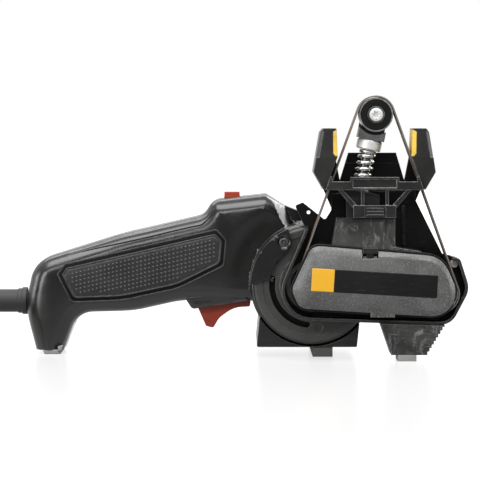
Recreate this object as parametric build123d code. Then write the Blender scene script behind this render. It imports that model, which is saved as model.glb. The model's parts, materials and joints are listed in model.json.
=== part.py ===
"""Electric belt knife sharpener: a hand-held motor body with a tilting belt head and a lift-off knife guide.

Millimetres. +Z is up, +X runs from the cord end to the head, and +Y runs from the belt side to the
vented side. The origin is the middle of the base of the tool's box. Flat shapes are drawn in the XZ
plane and pushed along Y, so "front" is the low Y side, where the belt and its cover are.
"""

import math
import os

from build123d import *

# Driving dimensions ---------------------------------------------------------------------------

# clearances
RUN_FIT = 0.05  # radial, between a shaft and what turns on it
GAP = 0.3  # between pieces that move past each other
SEAT_GAP = 0.05  # between a curved face and the piece seated on it

# belt and rollers
BELT_LENGTH = 304.8  # a standard 12 inch loop, on its middle line
BELT_WIDTH = 12.7
BELT_THICKNESS = 0.7
BELT_Y = -34.05  # middle of the belt's width
ROLLER_R = 8.5
ROLLER_WIDTH = 12.7
AXLE_R = 2.5
DRIVE_X = 34.2
DRIVE_Z = 36.4
LOWER_ROLLER_X = 97.2
LOWER_ROLLER_Z = 33.2
TENSION_TILT = 11.7  # degrees from upright, leaning to +X
SPRING_SEAT_X = 57.25
SPRING_SEAT_Z = 84.0
TENSION_TRAVEL = 8.0

# handle clamshell
PARTING_Y = 11.0
GRIP_HALF_WIDTH = 17.0
GRIP_ROUND = 7.0
WALL = 2.8
CAVITY_INSET = 4.0  # of the hollow's outline from the handle's, which leaves room for the rounding
FOOT_Z = 2.0  # underside of the handle's heel
INLAY_DEPTH = 0.9
INLAY_THICKNESS = 1.5
INLAY_GROOVE = 0.5  # round the inlay
INLAY_FRAME = 1.5
PANEL_DEPTH = 0.5  # of the inlay's middle below its frame

# motor drum
DRUM_R = 31.0
DRUM_FRONT_Y = -20.5
DRUM_REAR_Y = 44.0
DRUM_WALL = 2.5
BOSS_R = 11.0  # the boss that the head turns on
BOSS_FRONT_Y = -27.3
END_CAP_REAR_Y = 47.0
END_CAP_PLUG_R = 26.0
FRONT_BEARING_Y = BOSS_FRONT_Y + 1.6
RETAINER_Y = (BOSS_FRONT_Y + 0.1, BOSS_FRONT_Y + 0.7)

# motor
CAN_R = 23.0
CAN_WALL = 1.5
CAN_FRONT_Y = -16.0
CAN_REAR_Y = 30.0
MAGNET_THICKNESS = 2.6
AIR_GAP = 0.55  # between the magnets and the rotor
ROTOR_R = CAN_R - CAN_WALL - SEAT_GAP - MAGNET_THICKNESS - AIR_GAP
SHAFT_R = 2.5
BEARING_R = 8.0
BEARING_WIDTH = 5.0
FAN_R = 20.0

# head
RING_LIP = 2.0  # of the drum's edge past the index ring
RING_R = DRUM_R - RING_LIP
RING_THICKNESS = 3.0
PLATE_FRONT_Y = -26.5
PLATE_THICKNESS = 2.2
RIM_FRONT_Y = -38.0
RIM_WALL = 1.6
SLOT_R = 20.0
STOP_PIN_R = 1.2
SLOT_START = 172.0  # degrees about the drive axis, from +X towards +Z
HEAD_SWING = 90.0
SPINE_FRONT_Y = -41.5
COVER_FRONT_Y = -47.0
COVER_BACK_Y = -41.8
COVER_WALL = 1.8
CASSETTE_FOOT_FRONT_Y = -42.0
CASSETTE_FOOT_Z = 3.1
SERRATIONS = 10

# knife guide
GUIDE_MID_X = 64.1
GUIDE_TOP_Z = 114.9
BELT_ROOM = 0.8  # between the belt and the wings beside it
GUIDE_PLATE_Y = (-23.5, -20.5)
WING_FRONT_Y = -45.5
BRIDGE_Y = (-46.8, -43.4)
GUIDE_PLATE_Z = 66.2  # its lower edge, clear of the index ring

# stand
STAND_WEB = 0.4  # left under the drum
BASE_Z = DRIVE_Z - DRUM_R - STAND_WEB
BASE_PAD_X = (34.7, 44.7)
STAND_TOP_SHARE = 0.53  # how far down the drum the stand's sides start, as a share of its radius

# cord
CORD_R = 3.5
CORD_EXIT_Z = 26.0
BOOT_LENGTH = 45.0
HANDLE_END_X = -111.0
COIL_MEAN_R = 39.0
COIL_WIDTH = 15.0
COIL_HEIGHT = 28.3

# Places worked out from them -------------------------------------------------------------------

TILT = math.radians(TENSION_TILT)
TENSION_AXIS = (math.sin(TILT), math.cos(TILT))
PLATE_BACK_Y = PLATE_FRONT_Y + PLATE_THICKNESS
RING_BACK_Y = PLATE_BACK_Y + RING_THICKNESS
BELT_INNER_R = ROLLER_R + 0.25
BELT_OUTER_R = BELT_INNER_R + BELT_THICKNESS
BELT_FRONT_Y = BELT_Y - BELT_WIDTH / 2
BELT_BACK_Y = BELT_Y + BELT_WIDTH / 2
ROLLER_FRONT_Y = BELT_Y - ROLLER_WIDTH / 2
ROLLER_BACK_Y = BELT_Y + ROLLER_WIDTH / 2
GRIP_FRONT_Y = PARTING_Y - GRIP_HALF_WIDTH
GRIP_REAR_Y = PARTING_Y + GRIP_HALF_WIDTH


def along_tension(distance):
    """The XZ place that lies a distance up the tensioner's axis from the spring's seat."""
    return (SPRING_SEAT_X + distance * TENSION_AXIS[0], SPRING_SEAT_Z + distance * TENSION_AXIS[1])


def idler_distance():
    """How far up the tensioner's axis the idler sits for the belt to be taut."""
    low, high = 10.0, 80.0
    drive, lower = (DRIVE_X, DRIVE_Z), (LOWER_ROLLER_X, LOWER_ROLLER_Z)
    bend = 2 * math.pi * (BELT_INNER_R + BELT_THICKNESS / 2)
    for _ in range(50):
        middle = (low + high) / 2
        idler = along_tension(middle)
        run = math.dist(idler, drive) + math.dist(drive, lower) + math.dist(lower, idler)
        low, high = (middle, high) if run + bend < BELT_LENGTH else (low, middle)
    return middle


IDLER_UP = idler_distance()
IDLER_X, IDLER_Z = along_tension(IDLER_UP)


# Helpers ---------------------------------------------------------------------------------------


def xz_plane(y):
    """The plane at a depth whose sketch axes are +X and +Z, with its normal towards the front."""
    return Plane(origin=(0, y, 0), x_dir=(1, 0, 0), z_dir=(0, -1, 0))


def slab(face, y_front, y_back):
    """Pushes a sketch drawn in XZ from one depth to another."""
    return extrude(xz_plane(y_back) * face, amount=y_back - y_front)


def outline(corners):
    """A closed face from (x, z, radius) corners, each rounded by its radius."""
    points = [(x, z) for x, z, _ in corners]
    radii = [r for _, _, r in corners]
    return make_face(FilletPolyline(*points, radius=radii, close=True).edges())


def disc(x, z, radius):
    return Pos(x, z) * Circle(radius)


def ring(x, z, outer, inner):
    return disc(x, z, outer) - disc(x, z, inner)


def tube(x, z, outer, inner, y_front, y_back):
    return slab(ring(x, z, outer, inner), y_front, y_back)


def rod(x, z, radius, y_front, y_back):
    return slab(disc(x, z, radius), y_front, y_back)


def block(x, y, z):
    """A box from its low and high ends along each axis."""
    size = (x[1] - x[0], y[1] - y[0], z[1] - z[0])
    return Pos(sum(x) / 2, sum(y) / 2, sum(z) / 2) * Box(*size)


def turned(profile):
    """Revolves a closed (radius, height) profile about Z."""
    return revolve(Plane.XZ * make_face(Polyline(*profile, close=True)), Axis.Z, 360)


def on_tension(shape, distance):
    """Places a shape built about Z on the tensioner's axis, leaning with it."""
    x, z = along_tension(distance)
    return Pos(x, BELT_Y, z) * Rot(0, TENSION_TILT, 0) * shape


def edges_at_y(shape, y):
    return shape.edges().filter_by_position(Axis.Y, y - 0.01, y + 0.01)


def arc_slot(radius, half_width, start, end):
    """A curved slot about the drive axis between two angles in degrees."""
    middle = CenterArc((DRIVE_X, DRIVE_Z), radius, start, end - start)
    return trace(middle, line_width=2 * half_width) + [
        disc(*on_circle(radius, angle), half_width) for angle in (start, end)
    ]


def on_circle(radius, degrees):
    angle = math.radians(degrees)
    return (DRIVE_X + radius * math.cos(angle), DRIVE_Z + radius * math.sin(angle))


def spring(radius, wire_r, length, turns):
    """A round-wire spring standing on z = 0 with its coils about Z."""
    rise = length - 2 * wire_r
    path = Helix(pitch=rise / turns, height=rise, radius=radius, center=(0, 0, wire_r))
    start = Plane(origin=path @ 0, z_dir=path % 0)
    return sweep(start * Circle(wire_r), path=path)


# Handle ----------------------------------------------------------------------------------------

HUMP_Z = 81.4
FACET_BACK_Y = 5.0  # of the flat face behind the hump's slanted corner
BELOW_FLOOR = -3.5  # the heel's outline runs on below the floor and is cut off flat

HANDLE_CORNERS = [
    (-104.8, BELOW_FLOOR, 2),
    (HANDLE_END_X - 0.9, 24.0, 40),
    (-107.0, 47.0, 15),
    (-62.0, 61.0, 160),
    (-20.3, 70.6, 8),
    (-15.8, 78.4, 8),
    (11.5, HUMP_Z, 3),
    (20.9, 75.4, 2),
    (32.0, 71.0, 8),
    (44.0, 48.0, 8),
    (40.0, 26.0, 8),
    (-31.0, 27.2, 60),
    (-56.0, 21.6, 60),
    (-84.6, 20.8, 11),
    (-94.2, BELOW_FLOOR, 2),
]
CHIN_CORNERS = [(-31.0, 30.0, 0), (-26.4, 22.6, 2.5), (3.0, 27.2, 0), (3.0, 32.0, 0)]

INLAY_CORNERS = [
    (-93.6, 37.6, 1.5),
    (-90.5, 42.9, 1.5),
    (-13.6, 61.2, 2),
    (-10.2, 57.9, 2),
    (-11.6, 45.9, 3),
    (-35.0, 34.2, 60),
    (-62.0, 27.4, 60),
    (-86.2, 26.4, 3),
]

SCREW_PLACES = [(-98.5, 13.0), (-99.0, 40.0), (-45.0, 60.0), (-40.0, 30.5), (6.4, 72.0)]
LUG_SCREW = (20.0, 58.0)
SCREW_R = 1.4
SCREW_HEAD_R = 2.6
SCREW_POST_R = 3.2
SCREW_HEAD_Y = 22.5
SCREW_TIP_Y = 1.0
LUG_FRONT_Y = PLATE_BACK_Y - GAP - 2.0

TRIGGER_HINGE = (0.6, 29.4)
TRIGGER_PIN_R = 1.5
TRIGGER_WIDTH = 13.0
TRIGGER_EARS_Y = (PARTING_Y - TRIGGER_WIDTH / 2 - 4, PARTING_Y + TRIGGER_WIDTH / 2 + 4)
EAR_R = 3.4
BUTTON_X = (-10.0, -2.0)
BUTTON_WIDTH = 9.0
BUTTON_TRAVEL = 2.0
BUTTON_FLANGE_Z = 72.0


def hump_facet(depth):
    """What is cut from the hump's front corner beside the head: a slanted face and a flat one behind it."""
    top, low, back = (11.5, GRIP_FRONT_Y, 81.8), (21.2, GRIP_FRONT_Y, 63.5), (20.9, FACET_BACK_Y, 75.6)
    along, across = Vector(*low) - Vector(*top), Vector(*back) - Vector(*top)
    outward = across.cross(along).normalized()
    outward = outward if outward.X > 0 else outward * -1
    face = Plane(origin=Vector(*top) - outward * depth, z_dir=outward)
    cutter = face * Box(90, 90, 40, align=(Align.CENTER, Align.CENTER, Align.MIN))
    return cutter & block((5, 60), (GRIP_FRONT_Y - 5, FACET_BACK_Y + depth), (63.5 - depth, 95))


def handle_body():
    """The outside of the closed clamshell: grip, heel, hump and motor drum in one solid."""
    grip = slab(outline(HANDLE_CORNERS), GRIP_FRONT_Y, GRIP_REAR_Y)
    grip = fillet(edges_at_y(grip, GRIP_FRONT_Y) + edges_at_y(grip, GRIP_REAR_Y), GRIP_ROUND)
    grip -= block((-120, -80), (-20, 40), (BELOW_FLOOR - 5, FOOT_Z))
    grip -= hump_facet(0.0)
    chin = slab(outline(CHIN_CORNERS), GRIP_FRONT_Y + 2, GRIP_REAR_Y - 2)
    chin = chamfer(edges_at_y(chin, GRIP_FRONT_Y + 2) + edges_at_y(chin, GRIP_REAR_Y - 2), 1.5)
    drum = rod(DRIVE_X, DRIVE_Z, DRUM_R, DRUM_FRONT_Y, DRUM_REAR_Y)
    drum = fillet(edges_at_y(drum, DRUM_FRONT_Y) + edges_at_y(drum, DRUM_REAR_Y), 2.0)
    return grip + chin + drum


def handle_hollow():
    """The space inside the clamshell."""
    inner = offset(outline(HANDLE_CORNERS), amount=-CAVITY_INSET, kind=Kind.INTERSECTION)
    grip = slab(inner, GRIP_FRONT_Y + WALL, GRIP_REAR_Y - WALL)
    grip -= block((-120, -80), (-20, 40), (BELOW_FLOOR - 5, FOOT_Z + WALL))
    grip -= hump_facet(WALL)
    drum = rod(DRIVE_X, DRIVE_Z, DRUM_R - DRUM_WALL, DRUM_FRONT_Y + DRUM_WALL, DRUM_REAR_Y - DRUM_WALL)
    return grip + drum


def trigger_opening():
    half = TRIGGER_WIDTH / 2 + GAP
    return block((-27.5, 4.0), (PARTING_Y - half, PARTING_Y + half), (10, 37))


def button_opening():
    half = BUTTON_WIDTH / 2 + GAP
    return block((BUTTON_X[0] - GAP, BUTTON_X[1] + GAP), (PARTING_Y - half, PARTING_Y + half), (70, 90))


def cord_bore():
    """The hole in the handle's end that the strain relief's neck sits in."""
    bore = Pos(HANDLE_END_X, PARTING_Y, CORD_EXIT_Z) * Rot(0, 90, 0) * Cylinder(4.6, 20)
    return bore


def lug():
    """The tongue on the front of the drum that reaches over the index ring and holds a screw."""
    wedge = make_face(
        Polyline((2.0, 36.2), (13.4, 40.2), (15.5, 46.5), (21.0, 53.0), (24.2, 58.0), (21.5, 66.5), (2.0, 66.5), close=True)
    )
    cap = wedge & ring(DRIVE_X, DRIVE_Z, DRUM_R, SLOT_R + 1.0)
    cap += disc(*LUG_SCREW, 4.0)
    skirt = wedge & ring(DRIVE_X, DRIVE_Z, DRUM_R, RING_R + GAP)
    return slab(cap, LUG_FRONT_Y, PLATE_BACK_Y - GAP) + slab(skirt, LUG_FRONT_Y, DRUM_FRONT_Y + 1.0)


def inlay_recess(y_front, y_back):
    return slab(outline(INLAY_CORNERS), y_front, y_back)


def handle_additions(outer):
    """What stands inside or on the clamshell: screw posts, the trigger's ears, the boss, the lug and the stop."""
    posts = [rod(x, z, SCREW_POST_R, GRIP_FRONT_Y + 0.5, GRIP_REAR_Y - 0.5) & outer for x, z in SCREW_PLACES]
    ears = rod(*TRIGGER_HINGE, EAR_R, *TRIGGER_EARS_Y) & outer
    boss = rod(DRIVE_X, DRIVE_Z, BOSS_R, BOSS_FRONT_Y, DRUM_FRONT_Y + DRUM_WALL)
    stop_pin = rod(*on_circle(SLOT_R, SLOT_START), STOP_PIN_R, PLATE_BACK_Y + 0.4, DRUM_FRONT_Y + 0.5)
    can_seat = tube(DRIVE_X, DRIVE_Z, CAN_R + 2, CAN_R + SEAT_GAP, DRUM_FRONT_Y + DRUM_WALL, CAN_FRONT_Y + 4)
    return [*posts, ears, boss, lug(), stop_pin, can_seat]


def handle_cuts():
    """Every opening, bore and recess in the clamshell."""
    cuts = [
        trigger_opening(),
        button_opening(),
        cord_bore(),
        inlay_recess(GRIP_FRONT_Y - 1, GRIP_FRONT_Y + INLAY_DEPTH),
        inlay_recess(GRIP_REAR_Y - INLAY_DEPTH, GRIP_REAR_Y + 1),
        rod(*TRIGGER_HINGE, TRIGGER_PIN_R, TRIGGER_EARS_Y[0] + 1, TRIGGER_EARS_Y[1] - 1),
        tube(DRIVE_X, DRIVE_Z, BOSS_R + 1, BOSS_R - 1, *RETAINER_Y),
        rod(DRIVE_X, DRIVE_Z, BEARING_R, FRONT_BEARING_Y, DRUM_FRONT_Y + DRUM_WALL + 1),
        rod(DRIVE_X, DRIVE_Z, BEARING_R - 2, BOSS_FRONT_Y - 1, FRONT_BEARING_Y),
        rod(DRIVE_X, DRIVE_Z, END_CAP_PLUG_R + SEAT_GAP, DRUM_REAR_Y - DRUM_WALL - 1, DRUM_REAR_Y + 1),
        rod(*LUG_SCREW, 2.4, LUG_FRONT_Y - 1, LUG_FRONT_Y + 1),
    ]
    for x, z in SCREW_PLACES:
        cuts.append(rod(x, z, SCREW_R + SEAT_GAP, SCREW_TIP_Y - 0.5, SCREW_HEAD_Y + 1))
        cuts.append(rod(x, z, SCREW_HEAD_R + SEAT_GAP, SCREW_HEAD_Y, GRIP_REAR_Y + 5))
    return cuts


def handle_shells():
    """Both halves of the clamshell, front and rear."""
    outer, hollow = handle_body(), handle_hollow()
    additions, cuts = handle_additions(outer), handle_cuts()
    halves = []
    for y in ((-60, PARTING_Y), (PARTING_Y, 60)):
        side = block((-150, 150), y, (-20, 120))
        half = (outer - hollow) & side
        for addition in additions:
            half += addition & side
        for cut in cuts:
            half -= cut
        halves.append(half)
    return halves


def grip_inlay(front):
    """A soft panel on the grip's side, in a groove, with a bevelled frame round its sunken middle."""
    shrunk = offset(outline(INLAY_CORNERS), amount=-INLAY_GROOVE)
    panel = offset(outline(INLAY_CORNERS), amount=-INLAY_GROOVE - INLAY_FRAME)
    if front:
        y = (GRIP_FRONT_Y + INLAY_DEPTH - INLAY_THICKNESS, GRIP_FRONT_Y + INLAY_DEPTH)
        face, sunk = y[0], (y[0] - 1, y[0] + PANEL_DEPTH)
    else:
        y = (GRIP_REAR_Y - INLAY_DEPTH, GRIP_REAR_Y - INLAY_DEPTH + INLAY_THICKNESS)
        face, sunk = y[1], (y[1] - PANEL_DEPTH, y[1] + 1)
    inlay = slab(shrunk, *y)
    inlay = chamfer(edges_at_y(inlay, face), 0.4)
    return inlay - slab(panel, *sunk)


def clamshell_screws():
    shape = Part()
    for x, z in SCREW_PLACES:
        shape += rod(x, z, SCREW_R, SCREW_TIP_Y, SCREW_HEAD_Y)
        shape += rod(x, z, SCREW_HEAD_R, SCREW_HEAD_Y, SCREW_HEAD_Y + 2.0)
    return shape


def lug_screw():
    return rod(*LUG_SCREW, 2.35, LUG_FRONT_Y + 0.2, LUG_FRONT_Y + 1)


# Trigger, switch and button ----------------------------------------------------------------------


def trigger():
    """A finger lever: a hooked blade below, a flat tail above that pushes the switch."""
    x, z = TRIGGER_HINGE
    corners = [
        (x + 3.0, z - 3.0, 1.0),
        (x + 2.6, 23.4, 1.0),
        (-5.0, 23.0, 14),
        (-12.6, 17.6, 8),
        (-15.6, 12.4, 1.4),
        (-19.4, 13.4, 1.4),
        (-24.0, 24.0, 1.0),
        (-24.0, TRIGGER_TOP_Z, 1.0),
        (x + 2.6, TRIGGER_TOP_Z, 1.5),
    ]
    half = TRIGGER_WIDTH / 2
    lever = slab(outline(corners), PARTING_Y - half, PARTING_Y + half)
    return lever - rod(x, z, TRIGGER_PIN_R + RUN_FIT, PARTING_Y - half - 1, PARTING_Y + half + 1)


def trigger_pin():
    half = TRIGGER_WIDTH / 2 + 3
    return rod(*TRIGGER_HINGE, TRIGGER_PIN_R, PARTING_Y - half, PARTING_Y + half)


SWITCH_X = (-20.0, 2.0)
SWITCH_Z = (38.0, 58.0)
PLUNGER_X = -12.0
TRIGGER_TOP_Z = 31.6


def switch_module():
    """The switch's box, held between both shells, with a bore for its plunger."""
    box = block(SWITCH_X, (GRIP_FRONT_Y + WALL, GRIP_REAR_Y - WALL), SWITCH_Z)
    bore = Pos(PLUNGER_X, PARTING_Y, SWITCH_Z[0]) * Cylinder(2.0 + RUN_FIT, 16)
    return box - bore


def switch_plunger():
    """A stub that stands over the trigger's tail and slides into the switch."""
    stem = Pos(PLUNGER_X, PARTING_Y, (TRIGGER_TOP_Z + GAP + SWITCH_Z[0] + 4) / 2) * Cylinder(
        2.0, SWITCH_Z[0] + 4 - TRIGGER_TOP_Z - GAP
    )
    return stem


def trigger_spring():
    length = SWITCH_Z[0] - TRIGGER_TOP_Z - 2 * SEAT_GAP
    return Pos(-17.5, PARTING_Y, TRIGGER_TOP_Z + SEAT_GAP) * spring(2.0, 0.35, length, 4)


def lock_button():
    """The button on the hump that holds the switch on."""
    half = BUTTON_WIDTH / 2
    cap = block(BUTTON_X, (PARTING_Y - half, PARTING_Y + half), (BUTTON_FLANGE_Z, HUMP_Z + 0.9))
    flange_x = (BUTTON_X[0] - 1.2, BUTTON_X[1] + 1.2)
    flange_y = (PARTING_Y - half - 1.5, PARTING_Y + half + 1.5)
    return cap + block(flange_x, flange_y, (BUTTON_FLANGE_Z - 2.0, BUTTON_FLANGE_Z))


def button_spring():
    middle = sum(BUTTON_X) / 2
    return Pos(middle, PARTING_Y, SWITCH_Z[1]) * spring(2.6, 0.4, BUTTON_FLANGE_Z - 2.0 - SWITCH_Z[1], 5)


# Motor ------------------------------------------------------------------------------------------


def motor_can():
    """A drawn steel cup, open behind, with a hole for the shaft in front."""
    can = tube(DRIVE_X, DRIVE_Z, CAN_R, CAN_R - CAN_WALL, CAN_FRONT_Y, CAN_REAR_Y)
    can += tube(DRIVE_X, DRIVE_Z, CAN_R, 5.0, CAN_FRONT_Y, CAN_FRONT_Y + CAN_WALL)
    return can


def field_magnets():
    """Two curved magnets inside the can."""
    outer = CAN_R - CAN_WALL - SEAT_GAP
    shape = Part()
    for start in (-65, 115):
        arc = CenterArc((DRIVE_X, DRIVE_Z), outer - MAGNET_THICKNESS / 2, start, 130)
        shape += slab(trace(arc, line_width=MAGNET_THICKNESS), -9, 21)
    return shape


def rotor():
    """The laminated core with its windings' end turns."""
    core = rod(DRIVE_X, DRIVE_Z, ROTOR_R, -7, 19)
    for step in range(12):
        core -= rod(*on_circle(ROTOR_R, step * 30), 1.6, -8, 20)
    core += rod(DRIVE_X, DRIVE_Z, 13.5, -11, 23)
    return core - rod(DRIVE_X, DRIVE_Z, SHAFT_R, -12, 24)


def commutator():
    return tube(DRIVE_X, DRIVE_Z, 8.5, SHAFT_R, 23, 29)


def motor_shaft():
    return rod(DRIVE_X, DRIVE_Z, SHAFT_R, ROLLER_FRONT_Y - 0.6, 42.5)


def bearing(x, z, y_front, outer=BEARING_R, bore=SHAFT_R + RUN_FIT, width=BEARING_WIDTH):
    return tube(x, z, outer, bore, y_front, y_front + width)


def brush_plate():
    """The moulded end of the motor, with the rear bearing's seat and two brush tubes."""
    plate = tube(DRIVE_X, DRIVE_Z, DRUM_R - DRUM_WALL - SEAT_GAP, BEARING_R, 31, 34)
    plate += tube(DRIVE_X, DRIVE_Z, BEARING_R + 2, BEARING_R, 31, 37)
    plate += tube(DRIVE_X, DRIVE_Z, CAN_R, CAN_R - 3, 30, 31)
    for side in (-1, 1):
        low, high = sorted((DRIVE_X + side * 9.0, DRIVE_X + side * 19))
        plate += block((low, high), (24, 31), (DRIVE_Z - 3.5, DRIVE_Z + 3.5))
    return plate


def cooling_fan():
    """A hub and a back disc with radial blades, on the shaft behind the motor."""
    fan = tube(DRIVE_X, DRIVE_Z, 6.0, SHAFT_R, 38, 42)
    fan += tube(DRIVE_X, DRIVE_Z, FAN_R, 5.5, 38, 38.8)
    blade = block((DRIVE_X + 5.5, DRIVE_X + FAN_R), (38.5, 42), (DRIVE_Z - 0.5, DRIVE_Z + 0.5))
    for step in range(12):
        fan += turned_about_drive(blade, step * 30)
    return fan


def turned_about_drive(shape, degrees):
    return shape.rotate(Axis((DRIVE_X, 0, DRIVE_Z), (0, 1, 0)), degrees)


def end_cap():
    """The round vented cap behind the drum."""
    cap = rod(DRIVE_X, DRIVE_Z, DRUM_R - 2, DRUM_REAR_Y, END_CAP_REAR_Y)
    cap = fillet(edges_at_y(cap, END_CAP_REAR_Y), 1.5)
    cap += tube(DRIVE_X, DRIVE_Z, END_CAP_PLUG_R, END_CAP_PLUG_R - 2, DRUM_REAR_Y - DRUM_WALL, DRUM_REAR_Y)
    vent = block((DRIVE_X + 8, DRIVE_X + 24), (DRUM_REAR_Y - 1, END_CAP_REAR_Y + 1), (DRIVE_Z - 1.1, DRIVE_Z + 1.1))
    for step in range(16):
        cap -= turned_about_drive(vent, step * 22.5)
    return cap


def rectifier_board():
    """The circuit board behind the switch, on edge between the shells."""
    board = block((-62, -28), (GRIP_FRONT_Y + WALL, GRIP_REAR_Y - WALL), (44, 45.6))
    board += block((-56, -46), (PARTING_Y - 6, PARTING_Y + 6), (45.6, 51))
    return board + block((-42, -34), (PARTING_Y - 4, PARTING_Y + 4), (45.6, 54))


# Stand and pads -----------------------------------------------------------------------------------


def base_stand():
    """The wedge-sided foot under the drum."""
    top_z = DRIVE_Z - STAND_TOP_SHARE * DRUM_R
    half = math.sqrt(DRUM_R**2 - (DRIVE_Z - top_z) ** 2)
    face = outline(
        [
            (DRIVE_X - half, top_z, 0.5),
            (DRIVE_X - half - 1.4, BASE_Z, 0.8),
            (DRIVE_X + half - 3.6, BASE_Z, 0.8),
            (DRIVE_X + half - 2.0, top_z, 0.5),
        ]
    )
    stand = slab(face, DRUM_FRONT_Y - 0.5, DRUM_REAR_Y - 1)
    return stand - rod(DRIVE_X, DRIVE_Z, DRUM_R + SEAT_GAP, DRUM_FRONT_Y - 5, DRUM_REAR_Y + 5)


def base_pad():
    return block(BASE_PAD_X, (-20, 38), (0, BASE_Z))


def handle_pad():
    return block((-102.0, -93.5), (2, 20), (0, FOOT_Z))


# Cord -----------------------------------------------------------------------------------------------

BOOT_END_X = HANDLE_END_X - 0.6 - BOOT_LENGTH
CORD_ROUTE = [
    (BOOT_END_X, PARTING_Y, CORD_EXIT_Z),
    (-186.0, 11.5, 24.8),
    (-216.0, 11.0, 25.0),
]
COIL_X = -240.0
COIL_Y = -28.0
PLUG_ROUTE = [
    (-214.7, -67.0, 3.7),
    (-202.0, -67.7, 4.3),
    (-189.0, -66.2, 7.7),
    (-177.0, -67.0, 9.0),
]
PLUG_Y = PLUG_ROUTE[-1][1]
PLUG_X = PLUG_ROUTE[-1][0]
PLUG_Z = PLUG_ROUTE[-1][2]


def cord_tube(route, name):
    """A round tube along straight runs joined by the largest arcs that the runs allow."""
    points = [Vector(*p) for p in route]
    radii = []
    for before, here, after in zip(points, points[1:], points[2:]):
        turn = (here - before).get_angle(after - here)
        shorter = min((here - before).length, (after - here).length)
        radii.append(0.45 * shorter / math.tan(math.radians(turn) / 2))
    print(name, "radii", [round(r) for r in radii])
    path = FilletPolyline(*route, radius=radii)
    start = Plane(origin=path @ 0, z_dir=path % 0)
    tube_solid = sweep(start * Circle(CORD_R), path=path)
    print(name, "volume over section x length", tube_solid.volume / (math.pi * CORD_R**2 * path.length))
    return tube_solid


def strain_relief():
    """The moulded boot: a neck in the handle's end, a stepped collar, a smooth sleeve and a ribbed cone."""
    profile = [(3.7, -8), (4.5, -8), (4.5, 0.6), (7.0, 0.6), (7.0, 3.0), (6.4, 3.3), (6.4, 5.2), (5.9, 5.6)]
    ribs = 5
    smooth = 17.0
    step = (BOOT_LENGTH - smooth - 2) / ribs
    for rib in range(ribs):
        low = smooth + rib * step
        radius = 5.9 - 0.27 * rib
        profile += [(radius, low), (radius - 0.7, low), (radius - 0.7, low + 1.2), (radius - 0.1, low + 1.2)]
    profile += [(4.2, BOOT_LENGTH + 0.6), (0, BOOT_LENGTH + 0.6), (0, -8)]
    boot = turned(profile)
    return Pos(HANDLE_END_X, PARTING_Y, CORD_EXIT_Z) * Rot(0, -90, 0) * boot


def cord_coil():
    inner, outer = COIL_MEAN_R - COIL_WIDTH / 2, COIL_MEAN_R + COIL_WIDTH / 2
    coil = Pos(COIL_X, COIL_Y, COIL_HEIGHT / 2) * (
        Cylinder(outer, COIL_HEIGHT) - Cylinder(inner, COIL_HEIGHT + 2)
    )
    return fillet(coil.edges(), 3.0)


def plug_body():
    """A two-blade plug's body with the cord's neck."""
    body = Pos(PLUG_X + 24, PLUG_Y, PLUG_Z) * Box(28, 26, 17.6)
    body = fillet(body.edges().filter_by(Axis.X), 5.0)
    neck = Pos(PLUG_X + 5.5, PLUG_Y, PLUG_Z) * Rot(0, -90, 0) * Cone(6.5, 4.6, 11)
    return body + neck


def plug_blades():
    shape = Part()
    for side in (-1, 1):
        shape += Pos(PLUG_X + 38 + 8.5, PLUG_Y + side * 6.35, PLUG_Z) * Box(17, 1.5, 6.4)
    return shape


# Head -------------------------------------------------------------------------------------------------

CASSETTE_CORNERS = [
    (43.6, 82.4, 1),
    (43.6, 74.0, 1),
    (40.6, 69.2, 1),
    (29.4, 78.0, 1),
    (25.5, 76.3, 1),
    (30.5, 65.5, 2),
    (11.1, 20.4, 15),
    (LOWER_ROLLER_X + 5.3, 17.5, 9),
    (LOWER_ROLLER_X + 14.6, 35.4, 10),
    (LOWER_ROLLER_X + 9.7, 50.6, 2.5),
    (LOWER_ROLLER_X + 1.8, 52.4, 1),
    (85.5, 79.4, 1),
    (85.5, 84.4, 1),
]
RIM_TOP_Z = 66.0


def cassette_face(inset=0.0):
    face = outline(CASSETTE_CORNERS)
    return offset(face, amount=-inset, kind=Kind.INTERSECTION) if inset else face


def cassette_shell():
    """The back plate of the head, with a thin rim round its lower half and the guide's rail behind."""
    plate = slab(cassette_face(), PLATE_FRONT_Y, PLATE_BACK_Y)
    rim = slab(cassette_face() - cassette_face(RIM_WALL), RIM_FRONT_Y, PLATE_FRONT_Y)
    rim -= block((22, 102), (-60, 0), (RIM_TOP_Z, 100))
    rim -= block((60, LOWER_ROLLER_X + 5.8), (-60, 0), (40, 100))
    rim -= rod(*CORNER_SCREW, 2.6, RIM_FRONT_Y - 1, PLATE_FRONT_Y)
    shell = plate + rim
    shell -= rod(DRIVE_X, DRIVE_Z, BOSS_R + RUN_FIT, PLATE_FRONT_Y - 1, PLATE_BACK_Y + 1)
    shell += block((61, 67), (PLATE_BACK_Y, RAIL_HEAD_Y[0]), RAIL_Z) + block((58, 70), RAIL_HEAD_Y, RAIL_Z)
    shell += rod(*CORNER_SCREW, 2.2, PLATE_FRONT_Y - 3, PLATE_FRONT_Y)
    shell -= rod(*TIP_HOLE, 0.9, PLATE_FRONT_Y - 1, PLATE_BACK_Y + 1)
    shell += block((79.0, 80.2), (PLATE_FRONT_Y - 4, PLATE_FRONT_Y), (57, 76.2))
    for x, z in SPINE_SCREWS:
        shell -= rod(x, z, SCREW_R + SEAT_GAP, PLATE_FRONT_Y - 1, PLATE_BACK_Y + 1)
    for angle in RING_SCREW_ANGLES:
        place = on_circle(RING_SCREW_CIRCLE, angle)
        shell -= rod(*place, SCREW_R + SEAT_GAP, PLATE_FRONT_Y + 0.2, PLATE_BACK_Y + 1)
    shell -= rod(LOWER_ROLLER_X, LOWER_ROLLER_Z, AXLE_R, PLATE_FRONT_Y - 1, PLATE_BACK_Y + 1)
    return shell


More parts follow.
